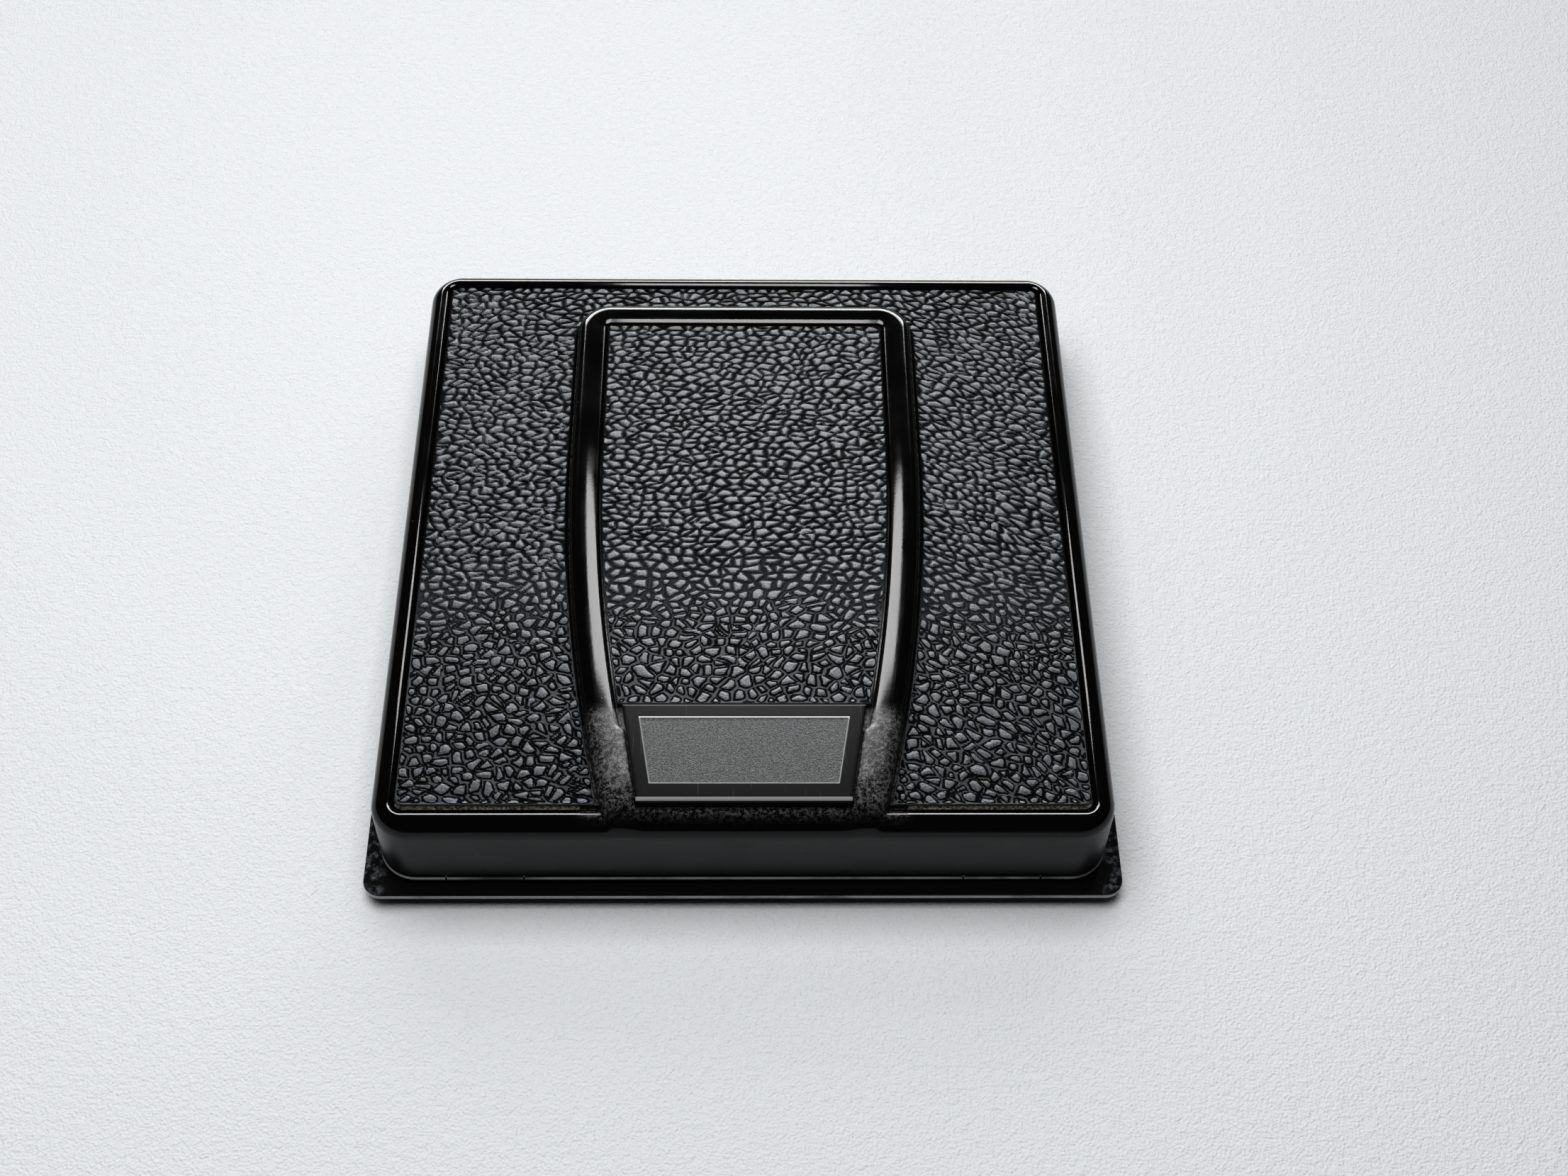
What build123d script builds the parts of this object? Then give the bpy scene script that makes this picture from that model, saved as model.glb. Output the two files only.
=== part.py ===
from build123d import *

import os
from math import sqrt

# Folding waist-level viewing hood for a medium-format reflex camera, shut.
# Millimetres. X runs to the right, Y from the hinge side to the rear, Z up.
# The origin is the centre of the footprint, on the underside of the locating collar.

# ---------------------------------------------------------------- driving dimensions
# mounting plate, and the collar that drops into the camera's finder seat
plate_overhang_x = 2.2
plate_overhang_y = 2.0
plate_thickness = 1.0
plate_corner_r = 2.5
plate_edge_round = 0.3
collar_height = 2.0
collar_inset = 5.5
collar_wall = 3.0
collar_corner_r = 3.0
lock_slot_length = 18.0
lock_slot_height = 1.0
lock_slot_depth = 1.2

# lid
lid_width = 96.0
lid_depth = 99.0
lid_height = 12.0
lid_corner_r = 5.0
lid_edge_round = 2.6
lid_wall = 1.5
lid_skin = 1.3
lid_seam_gap = 0.2
rim_width = 2.9
rim_inner_r = 1.2
recess_depth = 0.9

# raised tongue on the lid, over the magnifier
tongue_half_width = 25.0
tongue_rise = 2.4
tongue_rear_gap = 8.6
tongue_front_gap = 3.5
tongue_corner_r = 5.0
tongue_sweep_r = 260.0
tongue_sweep_y = 12.0
tongue_edge_round = 1.8
tongue_wall = 1.8
ridge_width = 4.3

# leather and name plate
leather_thickness = 0.6
leather_gap = 0.3
leather_corner_r = 0.6
name_plate_length = 14.0
name_plate_thickness = 0.8
name_plate_side_rear = 5.2
name_plate_side_front = 4.5
name_plate_border = 1.9
name_plate_relief = 0.2
name_plate_lip = 1.8
name_plate_lip_thickness = 0.6
name_plate_gap = 0.1
inlay_overrun = 3.6

# lid hinge: a pin through the front bead of the base frame
knuckle_r = 0.8
hinge_floor_gap = 0.05
hinge_pin_r = 0.4
hinge_pin_end_gap = 6.0
hinge_leaf_inset = 14.0
hinge_leaf_width = 10.0
hinge_leaf_height = 6.0
hinge_leaf_thickness = 0.5
leaf_rivet_inset = 2.5
leaf_rivet_rise = 4.0
rivet_r = 0.5
rivet_head_r = 0.85
rivet_head_height = 0.3
rivet_bite = 0.9

# base frame
bead_proud = 0.1
ledge_side = 9.0
ledge_end = 12.5
window_step_side = 2.0
window_step_end = 4.0
window_corner_r = 2.0
upstand_side_gap = 0.3
upstand_rear_gap = 0.5
upstand_wall = 1.2
upstand_height = 3.9
upstand_corner_r = 3.2
frame_screw_inset = 4.0

# spring clips at the rear
clip_inset = 18.0
clip_half_width = 5.0
clip_thickness = 0.4
clip_nose_half = 1.5
clip_nose_r = 0.85
clip_nose_rise = 2.75
clip_rivet_rise = 1.05

# shields and their hinges
shield_thickness = 0.5
shield_pin_r = 0.75
shield_knuckle_wall = 0.45
knuckle_floor_gap = 0.35
shield_root_gap = 0.3
shield_layer_rise = 1.8
hem_height = 0.5
ear_length = 3.0
side_hinge_inset = 6.0
side_pin_front_gap = 5.8
side_pin_rear_gap = 3.5
side_knuckle_length = 12.0
side_shield_front_gap = 5.3
side_shield_rear_gap = 2.0
shield_middle_gap = 6.0
shield_head_room = 6.0
lid_sweep_height = 14.0
lid_sweep_slope = 1.25
rear_hinge_inset = 5.5
rear_pin_side_gap = 2.0
rear_knuckle_length = 14.0
rear_shield_side_gap = 1.0
rear_shield_step = 1.0
rear_sweep_slack = 2.5

# torsion springs
spring_wire_r = 0.22
spring_leg_r = 0.18
spring_length = 8.0
spring_leg = 5.0
spring_short_leg = 2.2

# magnifier
lens_rear_gap = 3.9
lens_r = 16.0
lens_sag = 2.2
lens_edge = 1.2
lens_seat_width = 1.0
lens_seat_height = 0.5
lens_ring_width = 1.4
ring_wall = 2.2
ring_height = 3.4
arm_neck = 2.6
arm_half_width = 13.0
arm_thickness = 0.8
arm_drop = 1.5
arm_notch_half = 7.0
magnifier_pin_drop = 2.85
magnifier_pin_r = 0.6
magnifier_knuckle_r = 1.2
magnifier_spring_half = 4.0
magnifier_spring_leg = 2.4
bracket_thickness = 0.8
bracket_ear_r = 1.6
bracket_half_length = 3.0
bracket_screw_x = 8.0

# liner under the lid's skin
liner_thickness = 0.5
liner_gap = 1.0
liner_corner_r = 2.5
liner_screw_inset = 10.0

# screws, as shank radius, head radius, head height and length
frame_screw_size = (0.8, 1.5, 1.0, 2.3)
small_screw_size = (0.6, 1.15, 0.45, 1.8)
screw_slot_width = 0.3
screw_tip_gap = 0.1

# clearances
pin_press = 0.01
pin_running = 0.05
side_play = 0.2

# ---------------------------------------------------------------- derived places
plate_top = collar_height + plate_thickness
lid_front = -lid_depth / 2
lid_rear = lid_depth / 2
hinge_y = lid_front - bead_proud + knuckle_r
hinge_z = plate_top + hinge_floor_gap + knuckle_r
bead_top = hinge_z + knuckle_r
lid_bottom = bead_top + lid_seam_gap
rim_top = lid_bottom + lid_height
recess_floor = rim_top - recess_depth
lid_ceiling = recess_floor - lid_skin
leaf_back = lid_front + lid_wall

tongue_top = rim_top + tongue_rise
inlay_floor = tongue_top - recess_depth
tongue_ceiling = inlay_floor - lid_skin
tongue_rear = lid_rear - tongue_rear_gap
tongue_front = lid_front + tongue_front_gap
inlay_rear = tongue_rear - ridge_width
plate_rear_y = tongue_front + name_plate_length
cavity_front = tongue_front + tongue_wall
cavity_rear = tongue_rear - tongue_wall

frame_window_width = lid_width - 2 * ledge_side
frame_window_depth = lid_depth - 2 * ledge_end
window_width = frame_window_width - 2 * window_step_side
window_depth = frame_window_depth - 2 * window_step_end

shield_knuckle_r = shield_pin_r + shield_knuckle_wall
shield_root = shield_knuckle_r + shield_root_gap
half_sheet = shield_thickness / 2
side_hinge_x = lid_width / 2 - side_hinge_inset
side_hinge_z = bead_top + knuckle_floor_gap + shield_knuckle_r
rear_hinge_y = lid_rear - rear_hinge_inset
rear_hinge_z = side_hinge_z + shield_layer_rise

ring_outer = lens_r + ring_wall
lens_y = cavity_rear - lens_rear_gap - ring_outer
magnifier_y = lens_y - ring_outer - arm_neck
magnifier_z = lid_ceiling - magnifier_pin_drop
arm_low = magnifier_z - arm_drop
arm_high = arm_low + arm_thickness

# The side shields nearly meet in the middle and pass under the rising magnifier.
side_shield_height = min(
    side_hinge_x - shield_middle_gap / 2, magnifier_y - hinge_y - shield_head_room
)
rear_shield_height = side_shield_height - rear_shield_step
rear_shield_half_width = side_hinge_x - rear_shield_side_gap


# ---------------------------------------------------------------- shared shapes
def block(x, y, z):
    """A box between a pair of limits on each axis, given in either order."""
    size = Box(abs(x[1] - x[0]), abs(y[1] - y[0]), abs(z[1] - z[0]))
    return Pos((x[0] + x[1]) / 2, (y[0] + y[1]) / 2, (z[0] + z[1]) / 2) * size


def rounded_block(width, depth, radius, z, y=0.0):
    """An upright block with rounded corners, centred on x = 0."""
    sheet = RectangleRounded(width, depth, radius)
    return Pos(0, y, z[0]) * extrude(sheet, z[1] - z[0])


def rod_x(radius, x, y, z):
    """A round bar along X between two limits."""
    return Pos((x[0] + x[1]) / 2, y, z) * Rot(0, 90, 0) * Cylinder(radius, abs(x[1] - x[0]))


def rod_y(radius, x, y, z):
    """A round bar along Y between two limits."""
    return Pos(x, (y[0] + y[1]) / 2, z) * Rot(90, 0, 0) * Cylinder(radius, abs(y[1] - y[0]))


def rod_z(radius, x, y, z):
    """A round bar along Z between two limits."""
    return Pos(x, y, (z[0] + z[1]) / 2) * Cylinder(radius, abs(z[1] - z[0]))


def prism(points, z):
    """An upright prism over a closed outline of plan points."""
    outline = Polyline(*points, close=True)
    return Pos(0, 0, z[0]) * extrude(make_face(outline), z[1] - z[0])


def wedge(rear, front, z):
    """An upright prism whose plan is a trapezoid, each end given as half-width and y."""
    corners = [(-rear[0], rear[1]), rear, front, (-front[0], front[1])]
    return prism(corners, z)


def tongue_half(y, inset):
    """Half-width of the tongue: straight at the rear, then a long arc that draws it in."""
    if y >= tongue_sweep_y:
        return tongue_half_width - inset
    radius = tongue_sweep_r - inset
    centre = tongue_half_width - tongue_sweep_r
    return centre + sqrt(radius**2 - (tongue_sweep_y - y) ** 2)


def tongue_block(inset, front, rear, corner_r, z):
    """The tongue's plan outline, drawn in by an inset, as an upright block."""
    middle = (tongue_sweep_y + front) / 2
    right = [(tongue_half(y, inset), y) for y in (rear, tongue_sweep_y, middle, front)]
    left = [(-x, y) for x, y in right]
    with BuildSketch() as sketch:
        with BuildLine():
            Line(left[0], right[0])
            Line(right[0], right[1])
            ThreePointArc(right[1], right[2], right[3])
            Line(right[3], left[3])
            ThreePointArc(left[3], left[2], left[1])
            Line(left[1], left[0])
        make_face()
        fillet(sketch.vertices().sort_by(Axis.Y)[-2:], corner_r)
    return Pos(0, 0, z[0]) * extrude(sketch.sketch, z[1] - z[0])


def screw(size, spot, countersunk=False):
    """A slotted screw driven upwards, the underside of its head at the spot."""
    shank_r, head_r, head_height, length = size
    head = Cylinder(head_r, head_height)
    if countersunk:
        head = Cone(head_r, shank_r, head_height)
    head = Pos(0, 0, head_height / 2) * head
    shank = Pos(0, 0, length / 2) * Cylinder(shank_r, length)
    slot = Box(3 * head_r, screw_slot_width, head_height)
    return Pos(*spot) * (head + shank - slot)


def screw_hole(size, spot, countersunk=False):
    """What is cut away for a screw: its shank and tip, and its head if it is sunk."""
    shank_r, head_r, head_height, length = size
    depth = length + screw_tip_gap
    hole = Pos(0, 0, depth / 2) * Cylinder(shank_r + pin_press, depth)
    if countersunk:
        cone = Cone(head_r + pin_press, shank_r + pin_press, head_height)
        hole += Pos(0, 0, head_height / 2) * cone
    return Pos(*spot) * hole


def save(name, shape):
    """Write one node's solids."""
    export_step(Compound(children=[*shape.solids()]), f"parts/{name}.step")


def group(shapes):
    """Several separate solids as one shape."""
    return Compound(children=[*shapes])


os.makedirs("parts", exist_ok=True)

# ---------------------------------------------------------------- mounting plate and its screws
frame_screw_x = lid_width / 2 - side_hinge_inset - pin_running
frame_screw_y = frame_window_depth / 2 - frame_screw_inset
screw_spots = [
    (side * frame_screw_x, y, collar_height)
    for side in (-1, 1)
    for y in (-frame_screw_y, 0, frame_screw_y)
]
screw_sinks = group(screw_hole(frame_screw_size, spot, True) for spot in screw_spots)
save("frame_screws", group(screw(frame_screw_size, spot, True) for spot in screw_spots))

mounting_plate = rounded_block(
    lid_width + 2 * plate_overhang_x,
    lid_depth + 2 * plate_overhang_y,
    plate_corner_r,
    (collar_height, plate_top),
)
edge_levels = mounting_plate.edges().group_by(Axis.Z)
mounting_plate = fillet([*edge_levels[0], *edge_levels[-1]], plate_edge_round)
mounting_plate -= rounded_block(
    window_width, window_depth, window_corner_r, (collar_height, plate_top)
)
mounting_plate -= screw_sinks
save("mounting_plate", mounting_plate)

# ---------------------------------------------------------------- locating collar
collar_width = lid_width - 2 * collar_inset
collar_depth = lid_depth - 2 * collar_inset
locating_collar = rounded_block(
    collar_width, collar_depth, collar_corner_r, (0, collar_height)
)
locating_collar -= rounded_block(
    collar_width - 2 * collar_wall,
    collar_depth - 2 * collar_wall,
    collar_corner_r,
    (0, collar_height),
)
for side in (-1, 1):
    face = side * collar_width / 2
    locating_collar -= block(
        (face - side * lock_slot_depth, face + side),
        (-lock_slot_length / 2, lock_slot_length / 2),
        ((collar_height - lock_slot_height) / 2, (collar_height + lock_slot_height) / 2),
    )
save("locating_collar", locating_collar)

# ---------------------------------------------------------------- base frame: bead, ledge and upstand
upstand_front = lid_front + lid_wall + upstand_side_gap
upstand_rear = lid_rear - lid_wall - upstand_rear_gap
upstand_width = lid_width - 2 * (lid_wall + upstand_side_gap)
upstand_depth = upstand_rear - upstand_front
upstand_y = (upstand_rear + upstand_front) / 2
upstand_top = bead_top + upstand_height
hinge_pin_half = lid_width / 2 - hinge_pin_end_gap
leaf_x = lid_width / 2 - hinge_leaf_inset
leaf_spans = [
    (x - hinge_leaf_width / 2, x + hinge_leaf_width / 2) for x in (-leaf_x, leaf_x)
]

base_frame = rounded_block(
    lid_width + 2 * bead_proud,
    lid_depth + 2 * bead_proud,
    lid_corner_r + bead_proud,
    (plate_top, bead_top),
)
base_frame = fillet(base_frame.edges().group_by(Axis.Z)[-1], knuckle_r)
base_frame += rounded_block(
    upstand_width, upstand_depth, upstand_corner_r, (plate_top, upstand_top), upstand_y
)
base_frame -= rounded_block(
    upstand_width - 2 * upstand_wall,
    upstand_depth - 2 * upstand_wall,
    upstand_corner_r - upstand_wall,
    (bead_top, upstand_top),
    upstand_y,
)
base_frame -= rounded_block(
    frame_window_width, frame_window_depth, window_corner_r, (plate_top, bead_top)
)
# gaps for the lid's hinge leaves to turn in
for span in leaf_spans:
    base_frame -= block(
        (span[0] - side_play, span[1] + side_play),
        (lid_front - 1, upstand_front + upstand_wall + side_play),
        (plate_top, upstand_top),
    )
base_frame -= rod_x(
    hinge_pin_r + pin_press, (-hinge_pin_half, hinge_pin_half), hinge_y, hinge_z
)

# ears for the side shields' pins
side_pin_span = (hinge_y + side_pin_front_gap, rear_hinge_y - side_pin_rear_gap)
middle_ear = (-ear_length / 2, ear_length / 2)
side_ears = [
    (side_pin_span[0], side_pin_span[0] + ear_length),
    middle_ear,
    (side_pin_span[1] - ear_length, side_pin_span[1]),
]
for side in (-1, 1):
    x = side * side_hinge_x
    for ear in side_ears:
        base_frame += block(
            (x - shield_knuckle_r, x + shield_knuckle_r),
            ear,
            (bead_top - hinge_floor_gap, side_hinge_z),
        )
        base_frame += rod_y(shield_knuckle_r, x, ear, side_hinge_z)
    base_frame -= rod_y(shield_pin_r + pin_press, x, side_pin_span, side_hinge_z)

# ears for the rear shield's pin
rear_pin_half = side_hinge_x - rear_pin_side_gap
rear_ears = [
    (-rear_pin_half, -rear_pin_half + ear_length),
    middle_ear,
    (rear_pin_half - ear_length, rear_pin_half),
]
for ear in rear_ears:
    base_frame += block(
        ear,
        (rear_hinge_y - shield_knuckle_r, rear_hinge_y + shield_knuckle_r),
        (bead_top - hinge_floor_gap, rear_hinge_z),
    )
    base_frame += rod_x(shield_knuckle_r, ear, rear_hinge_y, rear_hinge_z)
base_frame -= rod_x(
    shield_pin_r + pin_press, (-rear_pin_half, rear_pin_half), rear_hinge_y, rear_hinge_z
)
base_frame -= screw_sinks

# ---------------------------------------------------------------- spring clips that hold the lid shut
clip_back = upstand_rear - upstand_wall
nose_z = bead_top + clip_nose_rise
clips = []
clip_rivets = []
for x in (-lid_width / 2 + clip_inset, lid_width / 2 - clip_inset):
    nose = (x - clip_nose_half, x + clip_nose_half)
    base_frame -= block(
        (nose[0] - side_play, nose[1] + side_play),
        (clip_back - side_play, upstand_rear + side_play),
        (nose_z - clip_nose_r - side_play, upstand_top),
    )
    clip_front = clip_back - clip_thickness
    clip = block(
        (x - clip_half_width, x + clip_half_width),
        (clip_front, clip_back),
        (bead_top, upstand_top),
    )
    clip += rod_x(clip_nose_r, nose, clip_front + clip_nose_r, nose_z)
    for rivet_x in (x - clip_half_width + 1, x + clip_half_width - 1):
        rivet_z = bead_top + clip_rivet_rise
        shank = (clip_front, upstand_rear)
        hole = rod_y(rivet_r + pin_press, rivet_x, shank, rivet_z)
        clip -= hole
        base_frame -= hole
        head = rod_y(
            rivet_head_r, rivet_x, (clip_front - rivet_head_height, clip_front), rivet_z
        )
        clip_rivets.append(rod_y(rivet_r, rivet_x, shank, rivet_z) + head)
    clips.append(clip)
save("lid_clip_springs", group(clips))
save("clip_rivets", group(clip_rivets))
save("base_frame", base_frame)

# ---------------------------------------------------------------- pins in the base frame
save(
    "lid_hinge_pin",
    rod_x(hinge_pin_r, (-hinge_pin_half, hinge_pin_half), hinge_y, hinge_z),
)
save("left_shield_pin", rod_y(shield_pin_r, -side_hinge_x, side_pin_span, side_hinge_z))
save("right_shield_pin", rod_y(shield_pin_r, side_hinge_x, side_pin_span, side_hinge_z))
save(
    "rear_shield_pin",
    rod_x(shield_pin_r, (-rear_pin_half, rear_pin_half), rear_hinge_y, rear_hinge_z),
)

# ---------------------------------------------------------------- torsion springs
# Each is the envelope of its coil with a straight leg at each end: the long one lies
# under the shield, the short one on the frame.
spring_inner_r = shield_pin_r + 2 * pin_running
spring_outer_r = spring_inner_r + 2 * spring_wire_r
spring_drop = (spring_inner_r + spring_outer_r) / 2
spring_start = ear_length / 2 + side_play
spring_end = spring_start + spring_length


def side_spring(side):
    """Coil on a side shield's pin, behind the middle ear."""
    x = side * side_hinge_x
    leg_z = side_hinge_z - spring_drop
    coil = rod_y(spring_outer_r, x, (spring_start, spring_end), side_hinge_z)
    coil += rod_x(
        spring_leg_r, (x, x - side * spring_leg), spring_end - spring_wire_r, leg_z
    )
    coil += rod_x(
        spring_leg_r, (x, x + side * spring_short_leg), spring_start + spring_wire_r, leg_z
    )
    return coil - rod_y(spring_inner_r, x, (spring_start, spring_end), side_hinge_z)


def rear_spring(side):
    """Coil on the rear shield's pin, beside the middle ear."""
    span = (side * spring_start, side * spring_end)
    leg_z = rear_hinge_z - spring_drop
    long_leg = (rear_hinge_y - spring_leg, rear_hinge_y)
    short_leg = (rear_hinge_y, rear_hinge_y + spring_short_leg)
    coil = rod_x(spring_outer_r, span, rear_hinge_y, rear_hinge_z)
    coil += rod_y(spring_leg_r, side * (spring_end - spring_wire_r), long_leg, leg_z)
    coil += rod_y(spring_leg_r, side * (spring_start + spring_wire_r), short_leg, leg_z)
    return coil - rod_x(spring_inner_r, span, rear_hinge_y, rear_hinge_z)


save("left_shield_spring", side_spring(-1))
save("right_shield_spring", side_spring(1))
save("rear_shield_springs", group((rear_spring(-1), rear_spring(1))))


# ---------------------------------------------------------------- side shields
def side_shield(side):
    """A sheet flap that lies inwards from its pin. Its ends are cut back: in front to
    clear the turning lid, behind to clear the rear shield as both swing up."""
    front = hinge_y + side_shield_front_gap
    front_height = lid_sweep_height + lid_sweep_slope * side_shield_front_gap
    front_top = hinge_y + (side_shield_height - lid_sweep_height) / lid_sweep_slope
    rear = rear_hinge_y - side_shield_rear_gap
    rear_height = side_shield_rear_gap + rear_sweep_slack
    rear_top = rear_hinge_y - (side_shield_height - rear_sweep_slack)
    outline = [
        (shield_root, front),
        (front_height, front),
        (side_shield_height, front_top),
        (side_shield_height, rear_top),
        (rear_height, rear),
        (shield_root, rear),
    ]
    levels = (side_hinge_z - half_sheet, side_hinge_z + half_sheet)
    flap = prism([(side * (side_hinge_x - reach), y) for reach, y in outline], levels)
    tip = side * (side_hinge_x - side_shield_height)
    flap += block(
        (tip, tip + side * shield_thickness),
        (front_top, rear_top),
        (side_hinge_z, levels[1] + hem_height),
    )
    x = side * side_hinge_x
    low = side_ears[0][1] + side_play
    high = side_ears[-1][0] - side_play
    for knuckle in ((low, low + side_knuckle_length), (high - side_knuckle_length, high)):
        flap += rod_y(shield_knuckle_r, x, knuckle, side_hinge_z)
        flap += block((x, x - side * (shield_root + 1)), knuckle, levels)
        flap -= rod_y(shield_pin_r + pin_running, x, knuckle, side_hinge_z)
    return flap


save("left_shield", side_shield(-1))
save("right_shield", side_shield(1))

# ---------------------------------------------------------------- rear shield
rear_root = rear_hinge_y - shield_root
rear_tip = rear_hinge_y - rear_shield_height
rear_levels = (rear_hinge_z - half_sheet, rear_hinge_z + half_sheet)
rear_shield = block(
    (-rear_shield_half_width, rear_shield_half_width), (rear_tip, rear_root), rear_levels
)
for side in (-1, 1):
    edge = side * rear_shield_half_width
    rear_shield += block(
        (edge, edge - side * shield_thickness),
        (rear_tip, rear_root),
        (rear_levels[0], rear_levels[1] + hem_height),
    )
    knuckle_end = side * (rear_pin_half - ear_length - side_play)
    knuckle = (knuckle_end, knuckle_end - side * rear_knuckle_length)
    rear_shield += rod_x(shield_knuckle_r, knuckle, rear_hinge_y, rear_hinge_z)
    rear_shield += block(knuckle, (rear_root - 1, rear_hinge_y), rear_levels)
    rear_shield -= rod_x(shield_pin_r + pin_running, knuckle, rear_hinge_y, rear_hinge_z)
save("rear_shield", rear_shield)

# ---------------------------------------------------------------- lid shell
lid_shell = rounded_block(lid_width, lid_depth, lid_corner_r, (lid_bottom, rim_top))
lid_shell = fillet(lid_shell.edges().group_by(Axis.Z)[-1], lid_edge_round)
lid_shell -= rounded_block(
    lid_width - 2 * rim_width,
    lid_depth - 2 * rim_width,
    rim_inner_r,
    (recess_floor, rim_top),
)
tongue = tongue_block(
    0, tongue_front, tongue_rear, tongue_corner_r, (lid_ceiling, tongue_top)
)
tongue = fillet(tongue.edges().group_by(Axis.Z)[-1], tongue_edge_round)
lid_shell += tongue
lid_shell -= rounded_block(
    lid_width - 2 * lid_wall,
    lid_depth - 2 * lid_wall,
    lid_corner_r - lid_wall,
    (lid_bottom, lid_ceiling),
)
lid_shell -= tongue_block(
    tongue_wall,
    cavity_front,
    cavity_rear,
    tongue_corner_r - tongue_wall,
    (lid_ceiling, tongue_ceiling),
)
inlay_levels = (inlay_floor, tongue_top)
lid_shell -= tongue_block(
    ridge_width, plate_rear_y - inlay_overrun, inlay_rear, leather_corner_r, inlay_levels
)
plate_rear = (tongue_half(plate_rear_y, name_plate_side_rear), plate_rear_y)
plate_front = (tongue_half(tongue_front, name_plate_side_front), tongue_front)
lid_shell -= wedge(
    (plate_rear[0] + name_plate_gap, plate_rear[1] + name_plate_gap),
    (plate_front[0] + name_plate_gap, plate_front[1] - name_plate_gap),
    inlay_levels,
)

# ---------------------------------------------------------------- leather
leather_levels = (recess_floor, recess_floor + leather_thickness)
surround = rounded_block(
    lid_width - 2 * (rim_width + leather_gap),
    lid_depth - 2 * (rim_width + leather_gap),
    rim_inner_r,
    leather_levels,
)
surround -= tongue_block(
    -leather_gap,
    lid_front,
    tongue_rear + leather_gap,
    tongue_corner_r + leather_gap,
    leather_levels,
)
save("lid_leather_surround", surround)
tongue_leather = tongue_block(
    ridge_width + leather_gap,
    plate_rear_y + 2 * name_plate_gap,
    inlay_rear - leather_gap,
    leather_corner_r,
    (inlay_floor, inlay_floor + leather_thickness),
)
save("tongue_leather", tongue_leather)

# ---------------------------------------------------------------- name plate
plate_face = inlay_floor + name_plate_thickness
lip_front = tongue_front - name_plate_lip_thickness
name_plate = wedge(plate_rear, (plate_front[0], lip_front), (inlay_floor, plate_face))
name_plate += block(
    (-plate_front[0], plate_front[0]),
    (lip_front, tongue_front - pin_press),
    (plate_face - name_plate_lip, inlay_floor),
)
name_plate -= wedge(
    (plate_rear[0] - name_plate_border, plate_rear_y - name_plate_border),
    (plate_front[0] - name_plate_border, tongue_front + name_plate_border),
    (plate_face - name_plate_relief, plate_face),
)
save("name_plate", name_plate)

# ---------------------------------------------------------------- hinge leaves riveted inside the lid's front wall
leaf_front = leaf_back + hinge_leaf_thickness
leaf_rivet_z = lid_bottom + leaf_rivet_rise
leaves = []
leaf_rivets = []
for span in leaf_spans:
    leaf = rod_x(knuckle_r, span, hinge_y, hinge_z)
    leaf += block(span, (hinge_y, leaf_front), (hinge_z, hinge_z + knuckle_r / 2))
    leaf += block(span, (leaf_back, leaf_front), (hinge_z, lid_bottom + hinge_leaf_height))
    leaf -= rod_x(hinge_pin_r + pin_running, span, hinge_y, hinge_z)
    for x in (span[0] + leaf_rivet_inset, span[1] - leaf_rivet_inset):
        shank = (leaf_back - rivet_bite, leaf_front)
        hole = rod_y(rivet_r + pin_press, x, shank, leaf_rivet_z)
        leaf -= hole
        lid_shell -= hole
        head = rod_y(
            rivet_head_r, x, (leaf_front, leaf_front + rivet_head_height), leaf_rivet_z
        )
        leaf_rivets.append(rod_y(rivet_r, x, shank, leaf_rivet_z) + head)
    leaves.append(leaf)
save("lid_hinge_leaves", group(leaves))
save("hinge_rivets", group(leaf_rivets))

# ---------------------------------------------------------------- magnifier bracket under the tongue
arm_outer = arm_half_width + side_play + bracket_thickness
bracket_low = tongue_ceiling - bracket_thickness
bracket = block(
    (-arm_outer, arm_outer),
    (magnifier_y - bracket_half_length, magnifier_y + bracket_half_length),
    (bracket_low, tongue_ceiling),
)
for side in (-1, 1):
    ear = (side * arm_outer, side * (arm_outer - bracket_thickness))
    bracket += block(
        ear,
        (magnifier_y - bracket_ear_r, magnifier_y + bracket_ear_r),
        (magnifier_z, tongue_ceiling),
    )
    bracket += rod_x(bracket_ear_r, ear, magnifier_y, magnifier_z)
    bracket -= rod_x(magnifier_pin_r + pin_press, ear, magnifier_y, magnifier_z)
bracket_spots = [
    (side * bracket_screw_x, magnifier_y, bracket_low - small_screw_size[2])
    for side in (-1, 1)
]
for spot in bracket_spots:
    bracket -= screw_hole(small_screw_size, spot)
    lid_shell -= screw_hole(small_screw_size, spot)
save("magnifier_bracket", bracket)
save("bracket_screws", group(screw(small_screw_size, spot) for spot in bracket_spots))
save("magnifier_pin", rod_x(magnifier_pin_r, (-arm_outer, arm_outer), magnifier_y, magnifier_z))

# coil that throws the magnifier out: one leg up to the bracket, one along the arm
coil_inner_r = magnifier_pin_r + 2 * pin_running
coil_outer_r = coil_inner_r + 2 * spring_wire_r
coil_span = (-magnifier_spring_half, magnifier_spring_half)
magnifier_spring = rod_x(coil_outer_r, coil_span, magnifier_y, magnifier_z)
magnifier_spring += rod_y(
    spring_leg_r,
    magnifier_spring_half - spring_wire_r,
    (magnifier_y, magnifier_y + magnifier_spring_leg),
    arm_high + spring_leg_r + pin_running,
)
magnifier_spring += rod_z(
    spring_leg_r,
    spring_wire_r - magnifier_spring_half,
    magnifier_y - (coil_inner_r + coil_outer_r) / 2,
    (magnifier_z, bracket_low),
)
magnifier_spring -= rod_x(coil_inner_r, coil_span, magnifier_y, magnifier_z)
save("magnifier_spring", magnifier_spring)

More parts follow.
